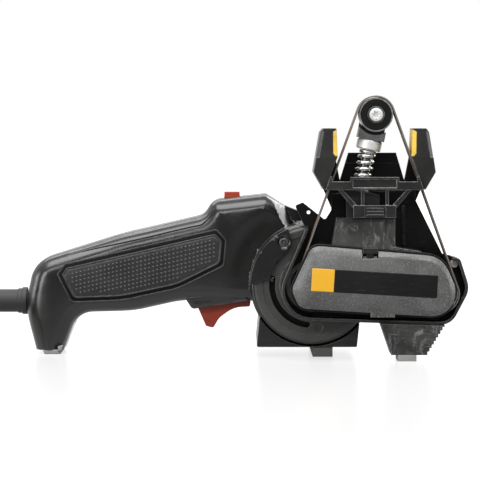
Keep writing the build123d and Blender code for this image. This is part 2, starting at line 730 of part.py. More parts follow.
RAIL_Z = (62.0, 80.0)
RAIL_HEAD_Y = (-20.2, -17.8)
CORNER_SCREW = (LOWER_ROLLER_X + 7.4, 47.8)
TIP_HOLE = (32.3, 73.0)
SPINE_SCREWS = [(DRIVE_X + RING_R + 4.3, 34.0), (LOWER_ROLLER_X - 17.7, 34.0), (66.0, 52.0)]
RING_SCREW_ANGLES = (30, 150, 270)
RING_SCREW_CIRCLE = 14.8
RING_SCREW_HEAD_R = 2.3
RING_SCREW_HEAD = 1.4


def index_ring():
    """The round plate behind the head, whose curved slot and the drum's pin limit the tilt."""
    plate = tube(DRIVE_X, DRIVE_Z, RING_R, BOSS_R + RUN_FIT, PLATE_BACK_Y, RING_BACK_Y)
    plate = fillet(edges_at_y(plate, PLATE_BACK_Y).sort_by(SortBy.RADIUS)[-1], 1.2)
    plate -= tube(DRIVE_X, DRIVE_Z, 24.8, 0.1, PLATE_BACK_Y - 1, PLATE_BACK_Y + 0.6) - rod(
        DRIVE_X, DRIVE_Z, 16.2, PLATE_BACK_Y - 2, PLATE_BACK_Y + 2
    )
    slot = arc_slot(SLOT_R, STOP_PIN_R + GAP, SLOT_START - 1, SLOT_START + HEAD_SWING + 1)
    plate -= slab(slot, PLATE_BACK_Y - 1, RING_BACK_Y + 1)
    plate -= rod(*on_circle(21.5, 279.5), 1.9, PLATE_BACK_Y, PLATE_BACK_Y + 1.0)
    for angle in RING_SCREW_ANGLES:
        place = on_circle(RING_SCREW_CIRCLE, angle)
        plate -= rod(*place, SCREW_R + SEAT_GAP, PLATE_BACK_Y - 1, RING_BACK_Y + 1)
        plate -= rod(*place, RING_SCREW_HEAD_R + SEAT_GAP, RING_BACK_Y - RING_SCREW_HEAD, RING_BACK_Y + 1)
    return plate


def retaining_ring():
    """The clip in the boss's groove that keeps the head on."""
    clip = tube(DRIVE_X, DRIVE_Z, BOSS_R + 2, BOSS_R - 1 + SEAT_GAP, *RETAINER_Y)
    return clip - block((DRIVE_X - 1.5, DRIVE_X + 1.5), (-40, 0), (DRIVE_Z + 5, DRIVE_Z + 20))


SPINE_SHOULDER_Z = 70.8
SPINE_CORNERS = [
    (49.5, 29.6, 3),
    (LOWER_ROLLER_X - 13.2, 28.0, 3),
    (LOWER_ROLLER_X - 13.2, 52.6, 1),
    (LOWER_ROLLER_X - 7.2, 53.8, 0.5),
    (74.7, 56.3, 2),
    (74.7, SPINE_SHOULDER_Z, 0.5),
    (45.7, SPINE_SHOULDER_Z, 0.5),
    (43.3, 56.6, 1),
    (46.0, 46.0, 1),
]
COLUMN_Y = (BELT_Y - 5.2, BELT_Y + 5.2)


def spine():
    """The block inside the belt loop: it carries the guide's shoulder, the cover and the tensioner."""
    body = slab(outline(SPINE_CORNERS), SPINE_FRONT_Y, PLATE_FRONT_Y)
    step = make_face(Polyline((69.2, 80), (69.2, 63.7), (73.4, 56.3), (78, 56.3), (78, 80), close=True))
    body -= slab(step, SPINE_FRONT_Y - 1, SPINE_FRONT_Y + 2.2)
    column = block((50.5, 67.0), COLUMN_Y, (SPINE_SHOULDER_Z - 3, SPRING_SEAT_Z + 4))
    above_seat = on_tension(Pos(0, 0, 10) * Box(60, 60, 20), 0)
    body += column - above_seat
    bore = on_tension(Pos(0, 0, -14) * Cylinder(ROD_R + RUN_FIT, 36), 0)
    body -= bore
    for x, z in SPINE_SCREWS:
        body -= rod(x, z, SCREW_R + SEAT_GAP, PLATE_FRONT_Y - 9, PLATE_FRONT_Y + 1)
    return body


ROD_R = 2.4


def spine_screws():
    shape = Part()
    for x, z in SPINE_SCREWS:
        shape += rod(x, z, SCREW_R, PLATE_FRONT_Y - 8, PLATE_BACK_Y)
        shape += rod(x, z, SCREW_HEAD_R, PLATE_BACK_Y, PLATE_BACK_Y + 1.6)
    for angle in RING_SCREW_ANGLES:
        place = on_circle(RING_SCREW_CIRCLE, angle)
        shape += rod(*place, SCREW_R, PLATE_FRONT_Y + 0.3, RING_BACK_Y - RING_SCREW_HEAD)
        shape += rod(*place, RING_SCREW_HEAD_R, RING_BACK_Y - RING_SCREW_HEAD, RING_BACK_Y)
    shape += rod(*CORNER_SCREW, 1.7, PLATE_FRONT_Y - 4.2, PLATE_FRONT_Y - 3)
    return shape


def roller_axle():
    """The fixed pin of the lower roller, pressed into the plate, with a cap that keeps the roller on."""
    pin = rod(LOWER_ROLLER_X, LOWER_ROLLER_Z, AXLE_R, ROLLER_FRONT_Y - 0.3, PLATE_BACK_Y)
    pin += rod(LOWER_ROLLER_X, LOWER_ROLLER_Z, AXLE_R + 2, ROLLER_FRONT_Y - 0.9, ROLLER_FRONT_Y - 0.3)
    return pin + rod(LOWER_ROLLER_X, LOWER_ROLLER_Z, AXLE_R + 1.5, ROLLER_BACK_Y + GAP, PLATE_FRONT_Y)


def crowned_roller(x, z, bore):
    """A belt roller, a little fuller in the middle of its width, open behind its rims."""
    half = ROLLER_WIDTH / 2
    profile = make_face(
        [
            Line((bore, -half), (ROLLER_R - 0.15, -half)),
            ThreePointArc((ROLLER_R - 0.15, -half), (ROLLER_R, 0), (ROLLER_R - 0.15, half)),
            Line((ROLLER_R - 0.15, half), (bore, half)),
            Line((bore, half), (bore, -half)),
        ]
    )
    roller = revolve(Plane.XZ * profile, Axis.Z, 360)
    return Pos(x, BELT_Y, z) * Rot(90, 0, 0) * roller


def drive_pulley():
    return crowned_roller(DRIVE_X, DRIVE_Z, SHAFT_R)


def lower_roller():
    roller = crowned_roller(LOWER_ROLLER_X, LOWER_ROLLER_Z, AXLE_R + RUN_FIT)
    return roller


def roller_triangle():
    """The face between the three roller axes."""
    axes = (DRIVE_X, DRIVE_Z), (LOWER_ROLLER_X, LOWER_ROLLER_Z), (IDLER_X, IDLER_Z)
    return make_face(Polyline(*axes, close=True))


def belt():
    """An endless belt that lies round the three rollers."""
    loop = offset(roller_triangle(), amount=BELT_OUTER_R) - offset(roller_triangle(), amount=BELT_INNER_R)
    return slab(loop, BELT_FRONT_Y, BELT_BACK_Y)


def cassette_foot():
    """The leg under the head with saw-tooth steps on its far side."""
    start, end = (LOWER_ROLLER_X - 6.7, CASSETTE_FOOT_Z), (LOWER_ROLLER_X + 4.0, 20.5)
    points = [(LOWER_ROLLER_X - 30.6, 21.0), (LOWER_ROLLER_X - 24.4, CASSETTE_FOOT_Z), start]
    run = (end[0] - start[0]) / SERRATIONS
    rise = (end[1] - start[1]) / SERRATIONS
    for step in range(SERRATIONS):
        x, z = start[0] + step * run, start[1] + step * rise
        points += [(x + 0.1 * run, z + rise), (x + run, z + rise)]
    points += [(end[0], 21.0)]
    leg = slab(make_face(Polyline(*points, close=True)), CASSETTE_FOOT_FRONT_Y, PLATE_BACK_Y)
    leg -= slab(cassette_face(), CASSETTE_FOOT_FRONT_Y - 1, PLATE_BACK_Y + 1)
    return leg


def foot_pad():
    x = (LOWER_ROLLER_X - 21.2, LOWER_ROLLER_X - 12.0)
    return block(x, (CASSETTE_FOOT_FRONT_Y, PLATE_BACK_Y - 1), (0, CASSETTE_FOOT_Z))


# Belt cover ---------------------------------------------------------------------------------------------

COVER_CORNERS = [
    (33.6, 57.3, 6),
    (LOWER_ROLLER_X + 0.3, 51.9, 9),
    (LOWER_ROLLER_X + 9.2, 34.2, 8),
    (LOWER_ROLLER_X + 3.3, 21.9, 7),
    (27.5, 26.4, 6),
    (23.4, 35.5, 6),
]
LATCH_X = (58.3, 65.7)
LATCH_Z = (53.6, 56.2)


def belt_cover():
    """The bevelled cover over the lower rollers, hollow behind, notched for its latch, with a hook below."""
    face = outline(COVER_CORNERS)
    cover = slab(face, COVER_FRONT_Y, COVER_BACK_Y)
    cover = chamfer(edges_at_y(cover, COVER_FRONT_Y), 2.0, 2.6)
    inner = offset(face, amount=-3.2)
    cover -= slab(inner, COVER_FRONT_Y + COVER_WALL, COVER_BACK_Y + 1)
    pocket = block((LATCH_X[0] - GAP, LATCH_X[1] + GAP), (COVER_FRONT_Y - 1, COVER_BACK_Y + 1), (LATCH_Z[0] - 2.6, 70))
    cover -= pocket
    stem = (LATCH_Z[0] - 7.2, LATCH_Z[0] - 1.6)
    for side in (-1, 1):
        x = sorted((62.0 + side * 1.8, 62.0 + side * 3.4))
        cover += block(x, (COVER_FRONT_Y + COVER_WALL, COVER_BACK_Y), stem)
    hook = (LOWER_ROLLER_X - 34.8, LOWER_ROLLER_X - 23.0)
    cover += block(hook, (COVER_FRONT_Y + 1.4, COVER_BACK_Y), (22.0, 26.0))
    for x in (hook[0] + 2.2, hook[1] - 3.6):
        cover -= block((x, x + 1.4), (COVER_FRONT_Y + 1, COVER_FRONT_Y + 2.0), (20, 23.2))
    return cover


def cover_latch():
    """The tab in the cover's top edge, with a stem in two guides behind the face."""
    tab = block(LATCH_X, (COVER_FRONT_Y + 0.4, COVER_BACK_Y - 0.2), LATCH_Z)
    stem = block((60.5, 63.5), (COVER_FRONT_Y + COVER_WALL + 0.3, COVER_BACK_Y - 0.2), (LATCH_Z[0] - 4.5, LATCH_Z[0] + 1))
    return tab + stem


# Tensioner ------------------------------------------------------------------------------------------------

COLLAR_HEIGHT = 5.2
ARM_LIFT = 12.5  # from the collar to the idler's axis
COLLAR_UP = IDLER_UP - ARM_LIFT - COLLAR_HEIGHT  # from the spring's seat to the underside of the collar
SPRING_WIRE_R = 0.85
SPRING_R = ROD_R + 0.25 + SPRING_WIRE_R
SPRING_PITCH = 2.8
COLLAR_R = 6.2
ARM_BACK_Y = -24.6


def tensioner_arm():
    """The bracket that holds the idler: a block on the rod and a cheek behind the roller."""
    low = COLLAR_UP + COLLAR_HEIGHT
    lift = IDLER_UP - low
    half = 6.6
    cheek_y = ROLLER_BACK_Y + GAP
    side = make_face(
        [
            Line((-half, 0), (half, 0)),
            Line((half, 0), (half, lift)),
            ThreePointArc((half, lift), (0, lift + half), (-half, lift)),
            Line((-half, lift), (-half, 0)),
        ]
    )
    cheek = extrude(Plane.XZ * side, amount=-(ARM_BACK_Y - cheek_y))
    cheek = Pos(0, cheek_y - BELT_Y, 0) * cheek
    seat = extrude(Plane.XZ * (side - Pos(0, lift) * Circle(BELT_OUTER_R + 0.6)), amount=-(cheek_y - BELT_Y + 6))
    seat = Pos(0, -6, 0) * seat
    arm = on_tension(cheek + seat, low)
    stub = rod(IDLER_X, IDLER_Z, AXLE_R, ROLLER_FRONT_Y, cheek_y + 1)
    return arm + stub + rod(IDLER_X, IDLER_Z, AXLE_R + 1.5, ROLLER_BACK_Y + 0.1, cheek_y + 0.5)


def tensioner_rod():
    return on_tension(Pos(0, 0, (COLLAR_UP - 20) / 2) * Cylinder(ROD_R, COLLAR_UP + 20), 0)


def spring_collar():
    """The turned collar that the spring pushes against."""
    profile = [
        (ROD_R, 0),
        (COLLAR_R - 0.6, 0),
        (COLLAR_R, 0.6),
        (COLLAR_R, 4.4),
        (COLLAR_R - 0.8, COLLAR_HEIGHT),
        (ROD_R, COLLAR_HEIGHT),
    ]
    return on_tension(turned(profile), COLLAR_UP)


def tension_spring():
    turns = max(2, round((COLLAR_UP - 2 * SPRING_WIRE_R) / SPRING_PITCH))
    return on_tension(spring(SPRING_R, SPRING_WIRE_R, COLLAR_UP, turns), 0)


def idler_roller():
    roller = crowned_roller(IDLER_X, IDLER_Z, AXLE_R + RUN_FIT)
    return roller - tube(IDLER_X, IDLER_Z, 7.7, AXLE_R, ROLLER_FRONT_Y - 1, ROLLER_FRONT_Y + 1.2)


def idler_shield():
    """The black ring in the idler's front."""
    return tube(IDLER_X, IDLER_Z, 7.65, 4.3, ROLLER_FRONT_Y + 0.3, ROLLER_FRONT_Y + 1.2)


def idler_screw():
    """The screw that keeps the idler on: a washer and a bevelled head with a hexagon socket."""
    head = rod(IDLER_X, IDLER_Z, 3.4, ROLLER_FRONT_Y - 1.6, ROLLER_FRONT_Y - 0.4)
    head = chamfer(edges_at_y(head, ROLLER_FRONT_Y - 1.6), 0.5)
    turns = [math.radians(angle) for angle in range(15, 375, 60)]
    corners = [(IDLER_X + 1.8 * math.cos(a), IDLER_Z + 1.8 * math.sin(a)) for a in turns]
    head -= slab(make_face(Polyline(*corners, close=True)), ROLLER_FRONT_Y - 2, ROLLER_FRONT_Y - 0.7)
    return head + rod(IDLER_X, IDLER_Z, 4.2, ROLLER_FRONT_Y - 0.4, ROLLER_FRONT_Y)


# Knife guide ------------------------------------------------------------------------------------------------

WING_LEFT = [
    (39.0, GUIDE_TOP_Z, 0.5),
    (45.3, GUIDE_TOP_Z, 0.5),
    (45.9, 100.8, 0.5),
    (42.2, 91.0, 0.5),
    (40.2, 85.0, 0.5),
    (39.0, 84.8, 0.5),
    (34.1, 93.4, 0.5),
    (37.4, 113.0, 0.5),
]
EDGE_LEFT = [
    (43.7, 113.2),
    (45.4, GUIDE_TOP_Z - 0.9),
    (45.95, 101.2),
    (44.8, 101.2),
    (43.8, 102.6),
]


def mirrored(points):
    """The same XZ points on the other side of the guide's middle."""
    return [(2 * GUIDE_MID_X - p[0], *p[1:]) for p in points]


def belt_corridor():
    """The room that the belt runs in, which the wings are relieved for."""
    room = offset(roller_triangle(), amount=BELT_OUTER_R + BELT_ROOM)
    return slab(room, BELT_FRONT_Y - BELT_ROOM, BELT_BACK_Y + BELT_ROOM)


WING_CREASE_Z = 100.8  # below it the wing's front leans back
WING_LEAN = 1.8
WING_BEVEL = 1.6


def bevel_wedge(start, end, width):
    """What a bevel takes off a wing's front along its outer edge, from one XZ point to another."""
    along = Vector(end[0] - start[0], 0, end[1] - start[1])
    out = Vector(0, 1, 0).cross(along).normalized()
    if (out.X > 0) != (start[0] > GUIDE_MID_X):
        out = out * -1
    corner = Vector(start[0], WING_FRONT_Y, start[1])
    sides = [(-width - 1, -1), (1, width + 1), (1, -1)]
    section = make_face(Polyline(*[corner + out * u + Vector(0, y, 0) for u, y in sides], close=True))
    return extrude(section, amount=along.length, dir=along.normalized())


def lean_wedge():
    """What the wings' lower fronts fall back by, from the crease to their tips."""
    front, tip = WING_FRONT_Y, WING_FRONT_Y + WING_LEAN
    low = WING_LEFT[4][1]
    points = [(front - 1, WING_CREASE_Z), (front, WING_CREASE_Z), (tip, low), (tip, low - 2), (front - 1, low - 2)]
    section = make_face(Polyline(*[Vector(0, y, z) for y, z in points], close=True))
    return extrude(section, amount=2 * GUIDE_MID_X, dir=(1, 0, 0))


def wing(corners, edge):
    """A wing of the guide: relieved for its coloured edge and the belt, with a bevel outside above the crease."""
    body = slab(outline(corners), WING_FRONT_Y, GUIDE_PLATE_Y[0])
    (x0, z0), (x1, z1) = corners[-1][:2], corners[-2][:2]
    slope = (x1 - x0) / (z1 - z0)
    ends = [(x0 + slope * (z - z0), z) for z in (z0 + 0.6, WING_CREASE_Z)]
    body -= bevel_wedge(*ends, WING_BEVEL)
    body -= lean_wedge()
    body -= slab(make_face(Polyline(*edge, close=True)), WING_FRONT_Y - 1, GUIDE_PLATE_Y[0] + 1)
    return body - belt_corridor()


def edge_strip(edge):
    strip = slab(make_face(Polyline(*edge, close=True)), WING_FRONT_Y - 0.3, GUIDE_PLATE_Y[0])
    return strip - belt_corridor()


def guide_plate():
    """The guide's back wall with two ears behind the wings and an open slot for the rail."""
    half = [
        (GUIDE_MID_X, 102.7),
        (52.2, 102.7),
        (48.0, 88.8),
        (45.6, 101.0),
        (45.0, 110.0),
        (38.2, 110.0),
        (35.0, 93.4),
        (39.4, 85.2),
        (43.8, 75.0),
        (43.8, GUIDE_PLATE_Z),
        (GUIDE_MID_X, GUIDE_PLATE_Z),
    ]
    left = make_face(Polyline(*half, close=True))
    right = make_face(Polyline(*mirrored(half), close=True))
    plate = slab(left + right, *GUIDE_PLATE_Y)
    plate -= block((61 - GAP, 67 + GAP), (-30, -10), (50, RAIL_Z[1] + 0.6))
    band = (GUIDE_MID_X - 13.5, GUIDE_MID_X + 13.5)
    return plate - block(band, (GUIDE_PLATE_Y[0] - 1, GUIDE_PLATE_Y[0] + 0.5), (97.5, 104))


BRIDGE_WINDOW_X = (59.4, 69.4)  # clear of the idler's screw as the guide lifts
BRIDGE_FEET_Y = BELT_FRONT_Y - 0.5  # the feet rest on the spine's shoulder and pass in front of the belt
GUIDE_LATCH_PIN = (sum(BRIDGE_Y) / 2, 75.4)  # the latch's axis in Y and Z
GUIDE_LATCH_PIN_R = 0.8


def latch_pin(radius, length):
    """A round bar on the guide latch's axis."""
    middle = sum(BRIDGE_WINDOW_X) / 2
    return Pos(middle, *GUIDE_LATCH_PIN) * Rot(0, 90, 0) * Cylinder(radius, length)


def guide_bridge():
    """The front bar with its truss and lower block, joined to the wings' lower tips."""
    bar = block((40.0, 2 * GUIDE_MID_X - 40.0), BRIDGE_Y, (84.7, 88.8))
    for x in ((41.0, 43.2), (2 * GUIDE_MID_X - 43.2, 2 * GUIDE_MID_X - 41.0)):
        bar += block(x, BRIDGE_Y, (84.7, 91.5))
    bar += block((52.2, 76.0), BRIDGE_Y, (84.7, 91.0))
    bar -= block((53.4, 74.8), (BRIDGE_Y[0] - 1, BRIDGE_Y[0] + 0.8), (85.8, 89.9))
    web = (BRIDGE_Y[0] + 0.6, BRIDGE_Y[1])
    for x in ((57.4, 59.0), (69.4, 71.0)):
        bar += block(x, web, (76.5, 85.0))
    for flip in (False, True):
        strut = [(45.8, 84.9), (48.4, 84.9), (55.6, 77.0), (54.0, 75.2)]
        strut = mirrored(strut) if flip else strut
        bar += slab(make_face(Polyline(*strut, close=True)), *web)
    bar += block((53.7, 74.5), (BRIDGE_Y[0], BRIDGE_Y[1]), (71.1, 77.2))
    bar += block((54.5, 73.7), (BRIDGE_Y[1] - 0.5, BRIDGE_FEET_Y), (71.1, 73.4))
    bar -= block(BRIDGE_WINDOW_X, (-60, -30), (70, 76.7))
    bar -= latch_pin(GUIDE_LATCH_PIN_R + RUN_FIT, BRIDGE_WINDOW_X[1] - BRIDGE_WINDOW_X[0] + 3.0)
    for corners in (WING_LEFT, mirrored(WING_LEFT)):
        bar -= slab(outline(corners), -60, -10)
    return bar


def guide_latch():
    """The ribbed tab in the lower block that lets the guide go."""
    x = (BRIDGE_WINDOW_X[0] + GAP, BRIDGE_WINDOW_X[1] - GAP)
    tab = block(x, (BRIDGE_Y[0] + 0.4, BRIDGE_Y[1] - 0.2), (71.2, 76.3))
    for z in (72.0, 73.6, 75.2):
        tab += block((x[0] + 0.6, x[1] - 0.6), (BRIDGE_Y[0], BRIDGE_Y[0] + 0.5), (z, z + 0.7))
    return tab + latch_pin(GUIDE_LATCH_PIN_R, BRIDGE_WINDOW_X[1] - BRIDGE_WINDOW_X[0] + 2.4)


# All nodes --------------------------------------------------------------------------------------------------


def build():
    front, rear = handle_shells()
    return {
        "handle_shell_front": front,
        "handle_shell_rear": rear,
        "grip_inlay_front": grip_inlay(True),
        "grip_inlay_rear": grip_inlay(False),
        "clamshell_screws": clamshell_screws(),
        "lug_screw": lug_screw(),
        "trigger": trigger(),
        "trigger_pin": trigger_pin(),
        "trigger_spring": trigger_spring(),
        "switch_module": switch_module(),
        "switch_plunger": switch_plunger(),
        "lock_button": lock_button(),
        "lock_button_spring": button_spring(),
        "motor_can": motor_can(),
        "field_magnets": field_magnets(),
        "rotor_core": rotor(),
        "commutator": commutator(),
        "motor_shaft": motor_shaft(),
        "front_bearing": bearing(DRIVE_X, DRIVE_Z, FRONT_BEARING_Y),
        "rear_bearing": bearing(DRIVE_X, DRIVE_Z, 31.5),
        "brush_plate": brush_plate(),
        "cooling_fan": cooling_fan(),
        "vented_end_cap": end_cap(),
        "rectifier_board": rectifier_board(),
        "base_stand": base_stand(),
        "base_pad": base_pad(),
        "handle_pad": handle_pad(),
        "strain_relief": strain_relief(),
        "power_cord": cord_tube(CORD_ROUTE, "power_cord"),
        "cord_coil": cord_coil(),
        "plug_lead": cord_tube(PLUG_ROUTE, "plug_lead"),
        "plug_body": plug_body(),
        "plug_blades": plug_blades(),
        "cassette_shell": cassette_shell(),
        "index_ring": index_ring(),
        "retaining_ring": retaining_ring(),
        "spine": spine(),
        "head_screws": spine_screws(),
        "lower_roller_axle": roller_axle(),
        "lower_roller": lower_roller(),
        "drive_pulley": drive_pulley(),
        "sanding_belt": belt(),
        "cassette_foot": cassette_foot(),
        "cassette_foot_pad": foot_pad(),
        "belt_cover": belt_cover(),
        "cover_latch": cover_latch(),
        "tensioner_arm": tensioner_arm(),
        "tensioner_rod": tensioner_rod(),
        "spring_collar": spring_collar(),
        "tension_spring": tension_spring(),
        "idler_roller": idler_roller(),
        "idler_shield": idler_shield(),
        "idler_screw": idler_screw(),
        "guide_wing_left": wing(WING_LEFT, EDGE_LEFT),
        "guide_wing_right": wing(mirrored(WING_LEFT), mirrored(EDGE_LEFT)),
        "guide_edge_left": edge_strip(EDGE_LEFT),
        "guide_edge_right": edge_strip(mirrored(EDGE_LEFT)),
        "guide_plate": guide_plate(),
        "guide_bridge": guide_bridge(),
        "guide_latch": guide_latch(),
    }


os.makedirs("parts", exist_ok=True)
for node, shape in build().items():
    export_step(shape, os.path.join("parts", node + ".step"))
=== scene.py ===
"""Looks for a hand-held electric belt knife sharpener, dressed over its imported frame. Metres, +Z up."""

import json
import math

import bmesh
import bpy
import numpy as np
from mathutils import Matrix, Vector

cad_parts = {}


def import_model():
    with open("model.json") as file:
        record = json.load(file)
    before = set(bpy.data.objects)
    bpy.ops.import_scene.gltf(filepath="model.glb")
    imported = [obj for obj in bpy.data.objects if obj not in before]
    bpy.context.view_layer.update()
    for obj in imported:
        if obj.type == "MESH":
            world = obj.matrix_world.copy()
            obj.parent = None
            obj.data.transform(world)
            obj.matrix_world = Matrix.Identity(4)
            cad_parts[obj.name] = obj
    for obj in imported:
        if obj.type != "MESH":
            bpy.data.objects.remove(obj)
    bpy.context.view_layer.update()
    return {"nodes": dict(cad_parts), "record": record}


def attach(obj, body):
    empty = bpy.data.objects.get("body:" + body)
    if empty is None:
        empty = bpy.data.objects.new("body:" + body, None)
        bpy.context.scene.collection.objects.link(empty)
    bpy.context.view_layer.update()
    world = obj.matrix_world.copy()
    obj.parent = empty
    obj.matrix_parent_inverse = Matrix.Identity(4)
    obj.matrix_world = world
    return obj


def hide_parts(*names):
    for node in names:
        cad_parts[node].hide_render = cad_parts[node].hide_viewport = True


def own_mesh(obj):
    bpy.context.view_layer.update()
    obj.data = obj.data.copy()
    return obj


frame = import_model()
NODES = frame["nodes"]
MM = 0.001

# Places that the pieces share with the solids, in millimetres
DRIVE = (34.2, 36.4)
IDLER = (65.0216, 121.5275)
BELT_Y = -34.05
PARTING_Y = 11.0

# The handle's two faces: which way along Y each one looks, its name, and its depth in millimetres
SIDES = ((-1, "front"), (1, "rear"))
GRIP_FACE = {-1: -6.0, 1: 28.0}

# Metres below which two points are one, or an edge has no length, and what keeps a division off zero
SAME_POINT = 1e-7
NO_LENGTH = 1e-8
TINY = 1e-12


# Mesh tools ----------------------------


def placed(name, data):
    """An object that holds a mesh, a curve, a lamp or a lens, linked into the scene."""
    holder = bpy.data.objects.new(name, data)
    bpy.context.scene.collection.objects.link(holder)
    return holder


def shaded(mesh, crease):
    """Smooth shading, where a turn sharper than the crease angle in degrees stays an edge."""
    mesh.shade_smooth()
    mesh.set_sharp_from_angle(angle=math.radians(crease))


def merged(mesh):
    """A working copy of a mesh without doubles."""
    work = bmesh.new()
    work.from_mesh(mesh)
    bmesh.ops.remove_doubles(work, verts=work.verts, dist=SAME_POINT)
    return work


def cut_at(work, geom, axis, place):
    """Cuts a working mesh by the plane across an axis at a place in millimetres."""
    direction = tuple(float(k == axis) for k in range(3))
    centre = tuple(place * MM * k for k in direction)
    bmesh.ops.bisect_plane(work, geom=geom, dist=SAME_POINT, plane_co=centre, plane_no=direction)


def outward(piece, crease=35.0):
    """Merges doubles, drops what has no area and points every face outwards."""
    work = merged(piece.data)
    bmesh.ops.dissolve_degenerate(work, edges=work.edges, dist=NO_LENGTH)
    bmesh.ops.recalc_face_normals(work, faces=work.faces)
    work.to_mesh(piece.data)
    work.free()
    shaded(piece.data, crease)
    return piece


def add_mesh(name, points, faces, body, finish, crease=35.0):
    """A mesh object from millimetre points and faces, shaded smooth up to the crease angle."""
    mesh = bpy.data.meshes.new(name)
    points = (np.asarray(points, float) * MM).tolist()
    mesh.from_pydata(points, [], [tuple(int(i) for i in f) for f in faces])
    mesh.update()
    shaded(mesh, crease)
    piece = placed(name, mesh)
    mesh.materials.append(finish)
    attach(piece, body)
    return piece


def grid_faces(rows, columns, wrap_rows=False, wrap_columns=False):
    """Quads of a rows x columns grid of points numbered row by row, closed along either direction."""
    r = np.arange(rows if wrap_rows else rows - 1)
    c = np.arange(columns if wrap_columns else columns - 1)
    r, c = (a.ravel() for a in np.meshgrid(r, c, indexing="ij"))
    r2, c2 = (r + 1) % rows, (c + 1) % columns
    return np.stack([r * columns + c, r * columns + c2, r2 * columns + c2, r2 * columns + c], axis=1)


def capped_faces(rings, count):
    """Faces of a solid through this many rings of count points, with a flat face on the first and last."""
    last = (rings - 1) * count
    ends = [tuple(range(count))[::-1], tuple(range(last, last + count))]
    return [tuple(f) for f in grid_faces(rings, count, wrap_columns=True)] + ends


def around(steps):
    """This many angles, evenly spaced all the way round."""
    return np.linspace(0, 2 * math.pi, steps, endpoint=False)


def unit(rows):
    """Each row divided by its length."""
    return rows / np.linalg.norm(rows, axis=1, keepdims=True)


def lengths(path):
    """The length along a path up to each of its points."""
    return np.concatenate([[0], np.cumsum(np.linalg.norm(np.diff(path, axis=0), axis=1))])


def along_path(path, t):
    """The points of a path of (x, z) points at the lengths t."""
    run = lengths(path)
    return np.stack([np.interp(t, run, path[:, k]) for k in (0, 1)], axis=1)


def rounded_outline(corners, steps=6):
    """Points round a polygon of (x, z, radius) corners: at each corner, an arc tangent to both sides."""
    corners = np.asarray(corners, float)
    here, radius = corners[:, :2], corners[:, 2]
    back, on = unit(np.roll(here, 1, axis=0) - here), unit(np.roll(here, -1, axis=0) - here)
    half = np.arccos(np.clip((back * on).sum(axis=1), -1, 1)) / 2
    run = radius / np.tan(half)
    centre = here + unit(back + on) * (radius / np.sin(half))[:, None]
    t = np.linspace(0, 1, steps)[None, :, None]
    start, end = (here + back * run[:, None]) - centre, (here + on * run[:, None]) - centre
    turn = (math.pi - 2 * half)[:, None, None]
    blend = (np.sin((1 - t) * turn) * start[:, None] + np.sin(t * turn) * end[:, None]) / np.sin(turn)
    return (centre[:, None] + blend).reshape(-1, 2)


SHARPEST_MITRE = 0.4


def inset(points, amount):
    """A closed XZ outline moved inwards: each point shifts along the mean of its two sides' normals."""
    points = np.asarray(points, float)
    area = 0.5 * np.sum(points[:, 0] * np.roll(points[:, 1], -1) - np.roll(points[:, 0], -1) * points[:, 1])
    side = np.roll(points, -1, axis=0) - points
    side /= np.linalg.norm(side, axis=1, keepdims=True) + TINY
    normal = np.stack([-side[:, 1], side[:, 0]], axis=1) * np.sign(area)
    mean = unit(normal + np.roll(normal, 1, axis=0))
    return points + mean * (amount / np.clip((mean * normal).sum(axis=1), SHARPEST_MITRE, 1))[:, None]


def levelled(outline, levels):
    """Rings of a solid: for each (y, amount), the XZ outline moved in by the amount, at depth y."""
    outline = np.asarray(outline, float)
    return [np.insert(inset(outline, amount) if amount else outline, 1, y, axis=1) for y, amount in levels]


def lofted(name, rings, body, finish, crease=35.0):
    """A closed solid through rings of equally many points, with a flat face on the first and last ring."""
    rings = np.asarray(rings, float)
    faces = capped_faces(len(rings), rings.shape[1])
    return outward(add_mesh(name, rings.reshape(-1, 3), faces, body, finish, crease=crease), crease)


# A direction that no piece is turned about
ASKEW = (0.31, 0.92, 0.24)


def turned(name, profile, centre, axis, body, finish, steps=48):
    """A closed (radius, height) profile carried round an axis.

    point = centre + height * axis + radius * (cos a * u + sin a * v), with u and v square to the axis
    """
    axis = np.asarray(axis, float) / np.linalg.norm(axis)
    u = np.cross(axis, ASKEW)
    u /= np.linalg.norm(u)
    v = np.cross(axis, u)
    profile = np.asarray(profile, float)
    a = around(steps)[:, None, None]
    ring = np.cos(a) * u + np.sin(a) * v
    points = np.asarray(centre) + profile[None, :, 1:2] * axis + profile[None, :, 0:1] * ring
    faces = grid_faces(steps, len(profile), wrap_rows=True, wrap_columns=True)
    return outward(add_mesh(name, points.reshape(-1, 3), faces, body, finish))


# Shader groups -------------------------


def new_group(name, numbers, outputs):
    """An empty shader group with a vector and these numbers as inputs, and its two ends."""
    group = bpy.data.node_groups.new(name, "ShaderNodeTree")
    socket = group.interface.new_socket
    socket(name="Vector", in_out="INPUT", socket_type="NodeSocketVector")
    for title, number in numbers.items():
        socket(name=title, in_out="INPUT", socket_type="NodeSocketFloat").default_value = number
    for title, kind in outputs.items():
        socket(name=title, in_out="OUTPUT", socket_type="NodeSocket" + kind)
    return group, group.nodes.new("NodeGroupInput"), group.nodes.new("NodeGroupOutput")


def fill(made, values):
    """Puts values in a node's sockets."""
    for key, value in values.items():
        made.inputs[key].default_value = value


def node(tree, kind, values=None, **links):
    """A shader node with socket values and incoming links."""
    made = tree.nodes.new("ShaderNode" + kind)
    fill(made, values or {})
    for key, source in links.items():
        tree.links.new(source, made.inputs[key])
    return made


def noise(tree, place, scale, detail, rough=0.5):
    """The outputs of a noise texture, value first and colour second. Its scale is a number or a socket."""
    made = node(tree, "TexNoise", {"Detail": detail, "Roughness": rough}, Vector=place)
    if isinstance(scale, float):
        made.inputs["Scale"].default_value = scale
    else:
        tree.links.new(scale, made.inputs["Scale"])
    return made.outputs


